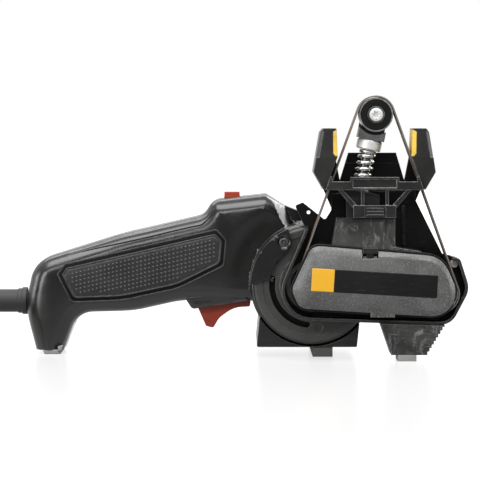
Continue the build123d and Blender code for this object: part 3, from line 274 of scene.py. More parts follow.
def maths(tree, operation, a, b=None, clamp=False):
    """The result of arithmetic on one or two numbers or sockets."""
    made = tree.nodes.new("ShaderNodeMath")
    made.operation, made.use_clamp = operation, clamp
    for index, value in enumerate((a, b)):
        if value is None:
            continue
        if isinstance(value, (int, float)):
            made.inputs[index].default_value = value
        else:
            tree.links.new(value, made.inputs[index])
    return made.outputs[0]


def vector_node(tree, operation, *values):
    """The node of arithmetic on vectors, each a tuple or a socket."""
    made = tree.nodes.new("ShaderNodeVectorMath")
    made.operation = operation
    for index, value in enumerate(values):
        if isinstance(value, tuple):
            made.inputs[index].default_value = value
        else:
            tree.links.new(value, made.inputs[index])
    return made


def remap(tree, value, low, high, to_low=0.0, to_high=1.0):
    """A clamped straight map of a value from low..high to to_low..to_high."""
    made = node(tree, "MapRange", {"From Min": low, "From Max": high, "To Min": to_low, "To Max": to_high})
    tree.links.new(value, made.inputs["Value"])
    return made.outputs["Result"]


def grain_group():
    """Moulded grain: noise at two scales, with Height for bump and Mottle for slow tone changes."""
    g, start, end = new_group("moulded grain", {"Scale": 2500.0}, {"Height": "Float", "Mottle": "Float"})
    place, scale = start.outputs["Vector"], start.outputs["Scale"]
    fine = noise(g, place, scale, 3.0, 0.6)
    slow = noise(g, place, maths(g, "MULTIPLY", scale, 0.02), 4.0, 0.55)
    g.links.new(fine[0], end.inputs["Height"])
    g.links.new(remap(g, slow[0], 0.35, 0.65), end.inputs["Mottle"])
    return g


EDGE_RADIUS = 0.6 * MM


def rubbing_and_highlight_group():
    """Rubbing at the edges that is also a painted edge highlight: where the rounded normal leaves the true
    one, broken up, as Mask, and that normal.
    """
    outputs = {"Mask": "Float", "Normal": "Vector"}
    g, start, end = new_group("rubbed edges and painted edge highlights", {"Amount": 1.0, "Breakup": 400.0}, outputs)
    bevel = node(g, "Bevel", {"Radius": EDGE_RADIUS})
    bevel.samples = 6
    flat = node(g, "NewGeometry")
    dot = vector_node(g, "DOT_PRODUCT", bevel.outputs[0], flat.outputs["Normal"])
    edge = remap(g, dot.outputs["Value"], 0.995, 0.88)
    rough = noise(g, start.outputs["Vector"], start.outputs["Breakup"], 4.0, 0.65)
    both = maths(g, "MULTIPLY", edge, remap(g, rough[0], 0.38, 0.62, 0.25, 1.0))
    g.links.new(maths(g, "MULTIPLY", both, start.outputs["Amount"], clamp=True), end.inputs["Mask"])
    g.links.new(bevel.outputs[0], end.inputs["Normal"])
    return g


def scuff_group():
    """Scuffs: long thin noise in three directions, thresholded and in patches, as Mask."""
    g, start, end = new_group("scuffs", {"Amount": 1.0, "Scale": 120.0}, {"Mask": "Float"})
    masks = []
    for turn, squeeze in ((0.6, 14.0), (-0.9, 11.0), (1.9, 17.0)):
        lay = {"Rotation": (0.3 * turn, turn, 0.2), "Scale": (1.0, squeeze, squeeze)}
        place = node(g, "Mapping", lay, Vector=start.outputs["Vector"])
        thin = noise(g, place.outputs[0], start.outputs["Scale"], 5.0, 0.7)
        masks.append(remap(g, thin[0], 0.6, 0.72))
    both = maths(g, "MAXIMUM", maths(g, "MAXIMUM", masks[0], masks[1]), masks[2])
    patch = noise(g, start.outputs["Vector"], 60.0, 2.0)
    both = maths(g, "MULTIPLY", both, remap(g, patch[0], 0.4, 0.6))
    g.links.new(maths(g, "MULTIPLY", both, start.outputs["Amount"], clamp=True), end.inputs["Mask"])
    return g


GRAIN, RUBBING_AND_HIGHLIGHT, SCUFF = grain_group(), rubbing_and_highlight_group(), scuff_group()

# Sockets of a Mix node that is set to colours
MIX_FIRST, MIX_SECOND, MIX_RESULT = 6, 7, 2


def placed_group(tree, group, vector, **values):
    """A shader group in a material, fed with a place and these values."""
    made = tree.nodes.new("ShaderNodeGroup")
    made.node_tree = group
    tree.links.new(vector, made.inputs["Vector"])
    fill(made, values)
    return made


def mixed(tree, factor, first, second):
    """A colour that goes from the first to the second with the factor. Each may be a colour or a socket."""
    made = tree.nodes.new("ShaderNodeMix")
    made.data_type = "RGBA"
    tree.links.new(factor, made.inputs["Factor"])
    for index, value in ((MIX_FIRST, first), (MIX_SECOND, second)):
        if isinstance(value, tuple):
            made.inputs[index].default_value = (*value, 1.0)
        else:
            tree.links.new(value, made.inputs[index])
    return made.outputs[MIX_RESULT]


def bumped(tree, shader, strength, depth, **links):
    """Bump into a shader's normal, from the linked height and over the linked normal."""
    lift = node(tree, "Bump", {"Strength": strength, "Distance": depth}, **links)
    tree.links.new(lift.outputs[0], shader.inputs["Normal"])


def new_material(name):
    """A material, its tree, its shader and the place on the object."""
    made = bpy.data.materials.new(name)
    made.use_nodes = True
    tree = made.node_tree
    place = tree.nodes.new("ShaderNodeTexCoord")
    return made, tree, tree.nodes["Principled BSDF"], place.outputs["Object"]


def plastic(
    name, colour, rubbed_and_highlight_colour, rough=0.42, grain=2600.0, bump=0.25, rubbing_and_highlight=0.7, scuffs=0.25, mottle=0.12,
    scuff_colour=None, specular=0.5,
):
    """Moulded plastic: grain in the bump and gloss, slow mottling, rubbed and painted-highlight edges, and
    light scuffs.
    """
    made, tree, shader, place = new_material(name)
    grained = placed_group(tree, GRAIN, place, Scale=grain)
    # Lightens the edges as rubbing and as a painted edge highlight
    edges = placed_group(tree, RUBBING_AND_HIGHLIGHT, place, Amount=rubbing_and_highlight)
    scuffed = placed_group(tree, SCUFF, place, Amount=scuffs)
    lighter = tuple(min(1.0, c * (1 + 2.2 * mottle)) for c in colour)
    base = mixed(tree, grained.outputs["Mottle"], tuple(c * (1 - mottle) for c in colour), lighter)
    base = mixed(tree, scuffed.outputs["Mask"], base, scuff_colour or rubbed_and_highlight_colour)
    base = mixed(tree, edges.outputs["Mask"], base, rubbed_and_highlight_colour)
    tree.links.new(base, shader.inputs["Base Color"])
    gloss = remap(tree, grained.outputs["Mottle"], 0.0, 1.0, rough - 0.05, rough + 0.05)
    duller = maths(tree, "MULTIPLY", scuffed.outputs["Mask"], 0.15)
    tree.links.new(maths(tree, "ADD", gloss, duller, clamp=True), shader.inputs["Roughness"])
    shader.inputs["Specular IOR Level"].default_value = specular
    bumped(tree, shader, bump, 0.12 * MM, Height=grained.outputs["Height"], Normal=edges.outputs["Normal"])
    return made


def repainted(made, layer):
    """Gives a finish the colour that layer(tree, colour so far, place on the object) returns."""
    tree = made.node_tree
    socket = tree.nodes["Principled BSDF"].inputs["Base Color"]
    place = tree.nodes.new("ShaderNodeTexCoord").outputs["Object"]
    tree.links.new(layer(tree, socket.links[0].from_socket, place), socket)


def flecked(made, light):
    """Adds small light flecks and short scratches to a finish, as on rubbed textured plastic."""

    def layer(tree, base, place):
        speck = noise(tree, place, 1000.0, 3.0, 0.7)
        return mixed(tree, remap(tree, speck[0], 0.5, 0.78), base, light)

    repainted(made, layer)


def streaked(made, light):
    """Adds pale rubbed streaks to a finish: noise stretched along Z and bent by a coarser one, in patches."""

    def layer(tree, base, place):
        bend = noise(tree, place, 70.0, 2.0)
        shift = vector_node(tree, "MULTIPLY_ADD", bend[1], (0.012, 0.0, 0.006), place)
        stretch = node(tree, "Mapping", {"Scale": (1.0, 1.0, 0.3)}, Vector=shift.outputs[0])
        fine = remap(tree, noise(tree, stretch.outputs[0], 520.0, 6.0, 0.75)[0], 0.5, 0.66)
        patch = remap(tree, noise(tree, place, 95.0, 3.0)[0], 0.38, 0.62)
        return mixed(tree, maths(tree, "MULTIPLY", fine, patch), base, light)

    repainted(made, layer)


def darker_above(made, height, dark):
    """Gives a finish a darker colour above a height in millimetres, over 0.6 mm."""

    def layer(tree, base, place):
        z = node(tree, "SeparateXYZ", Vector=place).outputs["Z"]
        return mixed(tree, remap(tree, z, (height - 0.3) * MM, (height + 0.3) * MM), base, dark)

    repainted(made, layer)


def metal(name, colour, rough, brushed=0.0, dark=0.55, metallic=1.0):
    """Turned or plated metal: fine lines across Y and a little tarnish."""
    made, tree, shader, place = new_material(name)
    stretch = node(tree, "Mapping", {"Scale": (1.0, 1.0 + brushed, 1.0)}, Vector=place)
    lines = noise(tree, stretch.outputs[0], 900.0, 4.0, 0.6)
    stain = remap(tree, noise(tree, place, 90.0, 5.0, 0.6)[0], 0.45, 0.7)
    tree.links.new(mixed(tree, stain, colour, tuple(c * dark for c in colour)), shader.inputs["Base Color"])
    shader.inputs["Metallic"].default_value = metallic
    gloss = remap(tree, lines[0], 0.3, 0.7, rough - 0.07, rough + 0.1)
    tree.links.new(gloss, shader.inputs["Roughness"])
    bumped(tree, shader, 0.15, 0.05 * MM, Height=lines[0])
    return made


BELT_EDGE = (6.15, 6.3)


def abrasive_belt():
    """Coated cloth: coarse grit, with bare brown cloth at both edges of the width."""
    made, tree, shader, place = new_material("abrasive cloth")
    grit = node(tree, "TexVoronoi", {"Scale": 3200.0}, Vector=place).outputs["Distance"]
    y = node(tree, "SeparateXYZ", Vector=place).outputs["Y"]
    across = maths(tree, "ABSOLUTE", maths(tree, "ADD", y, -BELT_Y * MM))
    colour = mixed(tree, remap(tree, grit, 0.0, 0.7), (0.24, 0.155, 0.11), (0.09, 0.06, 0.045))
    edge = remap(tree, across, BELT_EDGE[0] * MM, BELT_EDGE[1] * MM)
    tree.links.new(mixed(tree, edge, colour, (0.17, 0.15, 0.13)), shader.inputs["Base Color"])
    shader.inputs["Roughness"].default_value = 0.75
    bumped(tree, shader, 0.6, 0.1 * MM, Height=grit)
    return made


# Finishes: a name, the colour, and for plastic the colour of what is rubbed, which at the edges is also a
# painted edge highlight
BLACK_PLASTIC = plastic("black moulded plastic", (0.0055, 0.0055, 0.0052), (0.15, 0.15, 0.147), rough=0.34)
HANDLE_PLASTIC = plastic(
    "handle plastic", (0.0035, 0.0037, 0.0031), (0.09, 0.09, 0.087), rough=0.2, rubbing_and_highlight=0.5, scuffs=0.12,
    specular=0.75,
)
CASSETTE_PLASTIC = plastic(
    "cassette plastic", (0.0035, 0.0035, 0.0033), (0.16, 0.16, 0.157), rough=0.36, specular=0.2
)
RING_PLASTIC = plastic("index ring plastic", (0.048, 0.047, 0.045), (0.2, 0.2, 0.195), rough=0.36)
GRIP_RUBBER = plastic(
    "grip rubber", (0.013, 0.013, 0.0132), (0.17, 0.17, 0.168), rough=0.4, grain=3200.0, rubbing_and_highlight=0.8, scuffs=0.1
)
DOT_RUBBER = plastic(
    "grip dot rubber", (0.045, 0.045, 0.046), (0.2, 0.2, 0.2), rough=0.28, grain=3200.0, rubbing_and_highlight=0.4, scuffs=0.1
)
PAD_RUBBER = plastic("pad rubber", (0.1, 0.1, 0.097), (0.2, 0.2, 0.195), rough=0.75, rubbing_and_highlight=0.3, scuffs=0.2)
PALE_RUBBER = plastic("pale pad rubber", (0.3, 0.3, 0.295), (0.5, 0.5, 0.49), rough=0.7, rubbing_and_highlight=0.3, scuffs=0.2)
SPINE_PLASTIC = plastic(
    "spine plastic", (0.022, 0.023, 0.021), (0.2, 0.2, 0.19), rough=0.45, scuffs=1.0, mottle=0.6,
    scuff_colour=(0.2, 0.2, 0.2), bump=0.5,
)
streaked(SPINE_PLASTIC, (0.24, 0.245, 0.24))
darker_above(SPINE_PLASTIC, 70.0, (0.004, 0.004, 0.004))
COVER_PLASTIC = plastic(
    "cover plastic", (0.095, 0.095, 0.093), (0.5, 0.5, 0.49), rough=0.36, scuffs=0.7, mottle=0.16,
    scuff_colour=(0.22, 0.22, 0.22),
)
flecked(COVER_PLASTIC, (0.26, 0.26, 0.255))
RED_PLASTIC = plastic(
    "red plastic", (0.36, 0.042, 0.018), (0.7, 0.22, 0.15), rough=0.32, rubbing_and_highlight=0.5, scuffs=0.1
)
AMBER_PLASTIC = plastic(
    "amber plastic", (0.85, 0.52, 0.07), (0.9, 0.7, 0.3), rough=0.45, rubbing_and_highlight=0.3, scuffs=0.15
)
# Wings and guide bar: their light edge colour at a high amount is mostly a painted edge highlight
WING_PLASTIC = plastic("wing plastic", (0.014, 0.0137, 0.013), (0.25, 0.25, 0.24), rough=0.38, rubbing_and_highlight=0.9)
GUIDE_PLASTIC = plastic("guide bar plastic", (0.011, 0.011, 0.0105), (0.3, 0.3, 0.29), rough=0.36, rubbing_and_highlight=1.0)
CORD_RUBBER = plastic(
    "cord jacket", (0.016, 0.016, 0.0155), (0.06, 0.06, 0.06), rough=0.5, grain=3500.0, rubbing_and_highlight=0.2, scuffs=0.15
)
SHIELD_BLACK = plastic(
    "black shield", (0.003, 0.003, 0.003), (0.06, 0.06, 0.06), rough=0.4, rubbing_and_highlight=0.3, specular=0.25
)
# Deep black for the guide plate, and for sheets that paint shade in the inlay grooves and the index ring's
# slot
BLACK_AND_PAINTED_SHADE = plastic(
    "deep black plastic and painted shade", (0.0025, 0.0025, 0.0024), (0.05, 0.05, 0.05), rough=0.5, rubbing_and_highlight=0.5, specular=0.15
)
LABEL_AMBER = plastic(
    "amber label film", (0.84, 0.44, 0.022), (0.85, 0.6, 0.25), rough=0.35, rubbing_and_highlight=0.3, scuffs=0.25,
    mottle=0.03, bump=0.08,
)
LABEL_DARK = plastic(
    "charcoal label film", (0.004, 0.004, 0.0042), (0.1, 0.1, 0.1), rough=0.4, rubbing_and_highlight=0.3, scuffs=0.3,
    mottle=0.05, bump=0.08, specular=0.3,
)
SATIN_STEEL = metal("satin steel", (0.85, 0.85, 0.84), 0.36, dark=0.85, metallic=0.4)
SPRING_STEEL = metal("spring steel", (0.88, 0.88, 0.88), 0.24, dark=0.7, metallic=0.92)
DARK_STEEL = metal("blackened screw steel", (0.16, 0.16, 0.16), 0.38, dark=0.6)

SLOT_FINISH = {
    "housing_plastic": BLACK_PLASTIC,
    "grip_rubber": GRIP_RUBBER,
    "spine_plastic": SPINE_PLASTIC,
    "cover_plastic": COVER_PLASTIC,
    "red_plastic": RED_PLASTIC,
    "amber_plastic": AMBER_PLASTIC,
    "steel": metal("bright steel", (0.8, 0.8, 0.79), 0.22),
    "magnet": plastic("ferrite magnet", (0.06, 0.06, 0.062), (0.12, 0.12, 0.12), rough=0.6),
    "lamination": metal("stacked laminations", (0.35, 0.34, 0.33), 0.45, brushed=10.0),
    "brass": metal("plated brass", (0.82, 0.70, 0.42), 0.25),
    "copper": metal("copper bars", (0.80, 0.45, 0.3), 0.3),
    "fan_plastic": plastic("fan plastic", (0.5, 0.5, 0.48), (0.7, 0.7, 0.68), rough=0.45, rubbing_and_highlight=0.3),
    "board": plastic("board laminate", (0.05, 0.16, 0.07), (0.3, 0.3, 0.2), rough=0.4),
    "cord_jacket": CORD_RUBBER,
    "roller_metal": metal("turned roller metal", (0.5, 0.5, 0.5), 0.32, brushed=8.0),
    "arm_metal": metal("cast arm metal", (0.17, 0.17, 0.17), 0.42, dark=0.7),
    "shield_black": SHIELD_BLACK,
    "belt_abrasive": abrasive_belt(),
}
# Nodes whose finish isn't their slot's
NODE_FINISH = {
    "handle_shell_front": HANDLE_PLASTIC,
    "handle_shell_rear": HANDLE_PLASTIC,
    "index_ring": RING_PLASTIC,
    "cassette_shell": CASSETTE_PLASTIC,
    "base_pad": PAD_RUBBER,
    "cassette_foot_pad": PALE_RUBBER,
    "guide_bridge": GUIDE_PLASTIC,
    "head_screws": DARK_STEEL,
    "spring_collar": SATIN_STEEL,
    "guide_wing_left": WING_PLASTIC,
    "guide_wing_right": WING_PLASTIC,
    "retaining_ring": DARK_STEEL,
    "guide_plate": BLACK_AND_PAINTED_SHADE,
    "tensioner_rod": DARK_STEEL,
}
for part in frame["record"]["subparts"]:
    target = NODES[part["node"]].data.materials
    finish = NODE_FINISH.get(part["node"], SLOT_FINISH[part["material_slot"]])
    if len(target):
        for index in range(len(target)):
            target[index] = finish
    else:
        target.append(finish)


# The handle's crowned faces ------------

# Outlines are corners of (x, z, radius). Levels are (height over the face, how far the outline moves in)
GRIP = [
    (-104.8, -3.5, 2), (-111.9, 24.0, 40), (-107.0, 47.0, 15), (-62.0, 61.0, 160), (-20.3, 70.6, 8),
    (-15.8, 78.4, 8), (11.5, 81.4, 3), (20.9, 75.4, 2), (32.0, 71.0, 8), (44.0, 48.0, 8),
    (40.0, 26.0, 8), (-31.0, 27.2, 60), (-56.0, 21.6, 60), (-84.6, 20.8, 11), (-94.2, -3.5, 2),
]
GRIP_ROUND = 7.0
SWELL = 2.2
SWELL_REACH = 16.0
SWELL_FADE = (34.0, 14.0)
CROWN_STEP = 2.0
CROWN_CREASE = 30.0
INLAY = [
    (-95.1, 40.8, 1.5), (-91.2, 46.2, 1.5), (-13.7, 64.0, 2), (-8.6, 58.2, 2),
    (-9.8, 45.0, 3), (-33.4, 33.3, 30), (-61.8, 27.2, 60), (-87.7, 26.2, 3),
]
INLAY_LEVELS = [
    (-0.88, 1.9), (-0.3, 0.0), (0.22, 0.1), (0.32, 0.3), (0.26, 0.5), (0.04, 0.7), (0.04, 2.3),
    (0.5, 2.45), (0.62, 2.7), (0.5, 2.95), (0.1, 3.1), (0.1, 3.4), (0.34, 3.6), (0.4, 3.9),
]
# A black sheet on each groove's floor: painted shade in the recess
SHADE_SHEET_LEVELS = [(-0.3, 0.75), (0.08, 0.75), (0.08, 2.6)]
PANEL_PROUD = 0.4
PANEL_INSET = 5.0
DOT_MIDDLE = (-50.0, 43.6)
DOT_SLANT = math.tan(math.radians(13.4))
DOT_STEP = (2.05, 2.1)
DOT_REACH = (24, 9)
DOT_RADIUS, DOT_HEIGHT = 0.66, 0.5
DOME_STEPS = 10
DOME_RINGS = np.array([1.0, 0.78, 0.42])
DOME_ROOT = 0.05


def inside(points, outline):
    """Which XZ points lie inside a closed outline, by counting the sides that a ray towards +X crosses."""
    x, z = points[:, None, 0], points[:, None, 1]
    x0, z0 = outline[:, 0], outline[:, 1]
    x1, z1 = np.roll(x0, -1), np.roll(z0, -1)
    crosses = (z0 > z) != (z1 > z)
    at = x0 + (z - z0) / np.where(z1 == z0, TINY, z1 - z0) * (x1 - x0)
    return (crosses & (x < at)).sum(axis=1) % 2 == 1


def depth_inside(points):
    """The distance from XZ points to the grip's outline, and 0 outside it."""
    ring = rounded_outline(GRIP)
    side = np.roll(ring, -1, axis=0) - ring
    gap = points[:, None] - ring
    t = np.clip((gap * side).sum(axis=2) / ((side**2).sum(axis=1) + TINY), 0, 1)
    distance = np.linalg.norm(gap - t[..., None] * side, axis=2).min(axis=1)
    return np.where(inside(points, ring), distance, 0)


def swell(points):
    """How far the grip's faces stand out at XZ points.

    2.2 (1 - (1 - d / 16)^2) mm at a distance d from the outline. Between 34 and 48 mm from the drum's
    axis it grows from nothing to all of that, as 3 f^2 - 2 f^3.
    """
    distance = np.minimum(depth_inside(points), SWELL_REACH)
    fade = np.clip((np.linalg.norm(points - DRIVE, axis=1) - SWELL_FADE[0]) / SWELL_FADE[1], 0, 1)
    return SWELL * (1 - (1 - distance / SWELL_REACH) ** 2) * fade**2 * (3 - 2 * fade)


def crowned(piece, side, cut=True):
    """Moves a piece out with the grip's face: y + side * w * swell(x, z).

    w grows from 0 at the parting plane to 1 at the face. Large faces are cut on a 2 mm grid first.
    """
    mesh = piece.data
    if cut:
        work = merged(mesh)
        places = np.array([v.co for v in work.verts]) / MM
        for axis in (0, 2):
            first = math.ceil(places[:, axis].min() / CROWN_STEP) * CROWN_STEP
            for place in np.arange(first, places[:, axis].max(), CROWN_STEP):
                cut_at(work, work.verts[:] + work.edges[:] + work.faces[:], axis, place)
        work.to_mesh(mesh)
        work.free()
    points = np.empty(len(mesh.vertices) * 3)
    mesh.vertices.foreach_get("co", points)
    points = points.reshape(-1, 3)
    weight = np.clip((points[:, 1] / MM - PARTING_Y) / (GRIP_FACE[side] - PARTING_Y), 0, 1)
    points[:, 1] += side * weight * swell(points[:, [0, 2]] / MM) * MM
    mesh.vertices.foreach_set("co", points.ravel())
    mesh.update()
    shaded(mesh, CROWN_CREASE)
    return piece


def handle_halves():
    """The clamshell's halves with crowned faces."""
    for side, half in SIDES:
        source = "handle_shell_" + half
        piece = crowned(placed("grip_" + half, NODES[source].data.copy()), side)
        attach(piece, "handle")
        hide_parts(source)


def inlay_outline(amount):
    """The inlay's outline moved in by an amount, with its corner radii kept."""
    outline = np.array(INLAY)
    return rounded_outline(np.column_stack([inset(outline[:, :2], amount), outline[:, 2]]))


def grip_inlays():
    """The soft inlays: a lip, a groove with a black sheet on its floor as painted shade, a rim and a panel.
    """
    for side, half in SIDES:
        for name, levels, finish in (
            ("inlay_", INLAY_LEVELS, GRIP_RUBBER),
            # The groove's black sheet paints its shade
            ("inlay_groove_painted_shade_", SHADE_SHEET_LEVELS, BLACK_AND_PAINTED_SHADE),
        ):
            rings = [
                np.insert(inlay_outline(amount), 1, GRIP_FACE[side] + side * height, axis=1)
                for height, amount in levels
            ]
            piece = crowned(lofted(name + half, rings, "handle", finish, crease=25.0), side)
            if levels is INLAY_LEVELS:
                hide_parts("grip_inlay_" + half)


def domes(places, y, side):
    """Low domes on an XZ face, as three rings and a top point each: h(r) = height (1 - (r / radius)^2)."""
    a = around(DOME_STEPS)
    share = DOME_RINGS[:, None]
    rise = -DOME_ROOT + (DOT_HEIGHT + DOME_ROOT) * (1 - share**2)
    rise = np.broadcast_to(rise, (len(DOME_RINGS), DOME_STEPS))
    ring = np.stack([share * np.cos(a) * DOT_RADIUS, rise, share * np.sin(a) * DOT_RADIUS], axis=2)
    dome = np.concatenate([ring.reshape(-1, 3), [(0.0, DOT_HEIGHT, 0.0)]])
    top = len(dome) - 1
    inner = top - DOME_STEPS
    faces = [tuple(f) for f in grid_faces(len(DOME_RINGS), DOME_STEPS, wrap_columns=True)]
    faces += [(inner + i, inner + (i + 1) % DOME_STEPS, top) for i in range(DOME_STEPS)]
    faces = [f if side > 0 else f[::-1] for f in faces]
    points = dome[None] * (1, side, 1) + np.array([(x, y, z) for x, z in places])[:, None]
    start = np.arange(len(places)) * len(dome)
    return points.reshape(-1, 3), [tuple(int(k + i) for i in f) for k in start for f in faces]


def grip_dots():
    """Rows of small domes over both grip panels, along their slant."""
    u, v = np.meshgrid(*(np.arange(-count, count + 1) for count in DOT_REACH))
    x = DOT_MIDDLE[0] + u * DOT_STEP[0]
    z = DOT_MIDDLE[1] + (x - DOT_MIDDLE[0]) * DOT_SLANT + v * DOT_STEP[1]
    spots = np.stack([x.ravel(), z.ravel()], axis=1)
    spots = spots[inside(spots, inlay_outline(PANEL_INSET))]
    for side, half in SIDES:
        points, faces = domes(spots, GRIP_FACE[side] + side * PANEL_PROUD, side)
        dots = add_mesh("grip_dots_" + half, points, faces, "handle", DOT_RUBBER, crease=60.0)
        crowned(dots, side, cut=False)


# The crease's path of (x, z) points, and its section of (distance above the path, height over the face)
CREASE = [
    (-92.0, 48.6), (-87.6, 51.1), (-76.4, 53.9), (-61.5, 57.0), (-46.6, 60.3), (-36.1, 62.9),
    (-26.0, 65.2), (-21.5, 66.0), (-18.4, 68.8), (-15.6, 73.0), (-13.9, 76.0),
]
CREASE_SECTION = [
    (3.2, -0.5), (2.9, 0.1), (2.4, 0.4), (1.6, 0.56), (0.4, 0.66), (0.05, 0.62), (-0.25, 0.4), (-0.45, -0.5),
]
CREASE_STEPS = 70
CREASE_SINK = 0.8
CREASE_FADE = (14.0, 8.0)
CREASE_MARGIN = 0.6
CREASE_LEAST = 0.15


def grip_creases():
    """The line below the grip's rounded top: a low ridge carried along a path, sinking in at both ends.

    The face itself lies 7 - sqrt(49 - (7 - d)^2) mm back at a distance d below 7 mm from the outline.
    """
    path = np.array(CREASE)
    total = lengths(path)[-1]
    t = np.linspace(0, total, CREASE_STEPS)
    line = along_path(path, t)
    line = np.concatenate([line[:1], (line[:-2] + 2 * line[1:-1] + line[2:]) / 4, line[-1:]])
    way = unit(np.gradient(line, axis=0))
    up = np.stack([-way[:, 1], way[:, 0]], axis=1)
    sink = CREASE_SINK * (1 - np.clip(np.minimum(t / CREASE_FADE[0], (total - t) / CREASE_FADE[1]), 0, 1))
    section = np.array(CREASE_SECTION)
    room = np.clip((depth_inside(line) - CREASE_MARGIN) / section[0, 0], CREASE_LEAST, 1)
    above = np.where(section[:, 0] > 0, section[:, 0] * room[:, None], section[:, 0])
    flat = line[:, None] + up[:, None] * above[..., None]
    short = GRIP_ROUND - np.clip(depth_inside(flat.reshape(-1, 2)).reshape(flat.shape[:2]), 0, GRIP_ROUND)
    back = GRIP_ROUND - np.sqrt(GRIP_ROUND**2 - short**2)
    for side, half in SIDES:
        y = GRIP_FACE[side] + side * (section[None, :, 1] - sink[:, None] - back)
        rings = np.stack([flat[..., 0], y, flat[..., 1]], axis=-1)
        crease = crowned(lofted("grip_crease_" + half, rings, "handle", HANDLE_PLASTIC), side, cut=False)


# Cover and head plate ------------------

LABEL_CORNER = (33.55, 46.35)
LABEL_TILT = math.radians(-3.3)
LABEL_HEIGHT = 11.2
LABEL_ROUND = 0.25
LABEL_LEVELS = [(-46.9, 0), (-47.12, 0), (-47.18, 0.08)]
# Each part's name, where it starts and ends along the plate, finish and slot
LABEL_PARTS = (
    ("label_square", 0.0, 11.1, LABEL_AMBER, "amber_plastic"),
    ("label_strip", 11.1, 61.9, LABEL_DARK, "cover_plastic"),
)

# The cover's outline as a solid, and as it is rounded here
COVER_LEFT = [(27.5, 26.4, 6), (23.4, 35.5, 6), (33.6, 57.3, 6)]
COVER = COVER_LEFT + [(97.5, 51.9, 9), (106.4, 34.2, 8), (100.5, 21.9, 7)]
COVER_ROUND = COVER_LEFT + [(97.3, 51.9, 13), (105.2, 34.6, 14), (100.0, 22.0, 12)]
COVER_MID = (89.0, 37.0)
COVER_CUTS = ((0, np.arange(90.0, 106.0, 1.25)), (2, np.arange(22.0, 54.0, 1.25)))
# Cut are the faces whose middle, or whose furthest corner, is right of these
COVER_CUT_FROM = (88.0, 92.0)
COVER_CREASE = 20.0
GASKET_SECTION = [(0.9, -42.75), (1.15, -42.5), (1.15, -41.95), (0.9, -41.75), (-0.6, -41.75), (-0.6, -42.75)]

CASSETTE = [
    (43.6, 82.4, 1), (43.6, 74.0, 1), (40.6, 69.2, 1), (29.4, 78.0, 1), (25.5, 76.3, 1), (30.5, 65.5, 2),
    (11.1, 20.4, 15), (102.5, 17.5, 9), (111.8, 35.4, 10), (106.9, 50.6, 2.5), (99.0, 52.4, 1),
    (85.5, 79.4, 1), (85.5, 84.4, 1),
]
RIM_SECTION = [(1.65, -37.8), (1.6, -38.15), (1.3, -38.4), (0.35, -38.4), (0.0, -38.15), (-0.05, -37.8)]
RIM_STEP = 0.8
RIM_TOP = 66.0
# Left, right and lower limit of where the rim stays away from the guide
RIM_GAP = (60.0, 103.0, 40.0)


def label():
    """A bare two-colour plate on the cover: a square and a strip that stand 0.18 mm proud of it."""
    c, s = math.cos(LABEL_TILT), math.sin(LABEL_TILT)
    x, z = LABEL_CORNER
    for name, u0, u1, finish, slot in LABEL_PARTS:
        box = [(u0, 0.0), (u1, 0.0), (u1, -LABEL_HEIGHT), (u0, -LABEL_HEIGHT)]
        corners = [(x + u * c - v * s, z + u * s + v * c, LABEL_ROUND) for u, v in box]
        lofted(name, levelled(rounded_outline(corners, 3), LABEL_LEVELS), "cover", finish)


def ray_length(ring, angles):
    """The distance from the middle of the cover's right end to a closed outline, along each angle."""
    start = ring - COVER_MID
    side = np.roll(start, -1, axis=0) - start
    way = np.stack([np.cos(angles), np.sin(angles)], axis=1)[:, None]
    across = way[..., 0] * side[:, 1] - way[..., 1] * side[:, 0]
    across = np.where(np.abs(across) < TINY, TINY, across)
    far = (start[:, 0] * side[:, 1] - start[:, 1] * side[:, 0]) / across
    share = (start[:, 0] * way[..., 1] - start[:, 1] * way[..., 0]) / across
    return np.where((far > 0) & (share >= 0) & (share <= 1), far, np.inf).min(axis=1)


def round_cover():
    """The cover with a rounder right end, cut on a 1.25 mm grid there.

    Each point right of the middle moves along its ray from there by the ratio of two outlines.
    """
    mesh = NODES["belt_cover"].data.copy()
    work = merged(mesh)
    middle_from, corner_from = (x * MM for x in COVER_CUT_FROM)
    for axis, places in COVER_CUTS:
        for place in places:
            faces = [
                f for f in work.faces
                if f.calc_center_median().x > middle_from or max(v.co.x for v in f.verts) > corner_from
            ]
            verts = list(dict.fromkeys(v for f in faces for v in f.verts))
            edges = list(dict.fromkeys(e for f in faces for e in f.edges))
            cut_at(work, verts + edges + faces, axis, place)
    right = [v for v in work.verts if v.co.x > COVER_MID[0] * MM]
    flat = np.array([(v.co.x, v.co.z) for v in right]) / MM - COVER_MID
    angles = np.arctan2(flat[:, 1], flat[:, 0])
    ratio = ray_length(rounded_outline(COVER_ROUND, 10), angles)
    ratio /= ray_length(rounded_outline(COVER, 10), angles)
    for vert, (x, z), share in zip(right, flat, ratio):
        vert.co.x, vert.co.z = (COVER_MID[0] + x * share) * MM, (COVER_MID[1] + z * share) * MM
    work.to_mesh(mesh)
    work.free()
    shaded(mesh, COVER_CREASE)
    piece = placed("round_cover", mesh)
    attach(piece, "cover")
    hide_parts("belt_cover")


def cover_gasket():
    """The black lip round the cover's back edge: a section carried round the cover's outline."""
    outer = rounded_outline(COVER_ROUND, 8)
    rings = np.stack([np.insert(inset(outer, -grow), 1, y, axis=1) for grow, y in GASKET_SECTION])
    faces = grid_faces(len(rings), len(outer), wrap_rows=True, wrap_columns=True)
    band = outward(add_mesh("cover_gasket", rings.reshape(-1, 3), faces, "cover", SHIELD_BLACK))


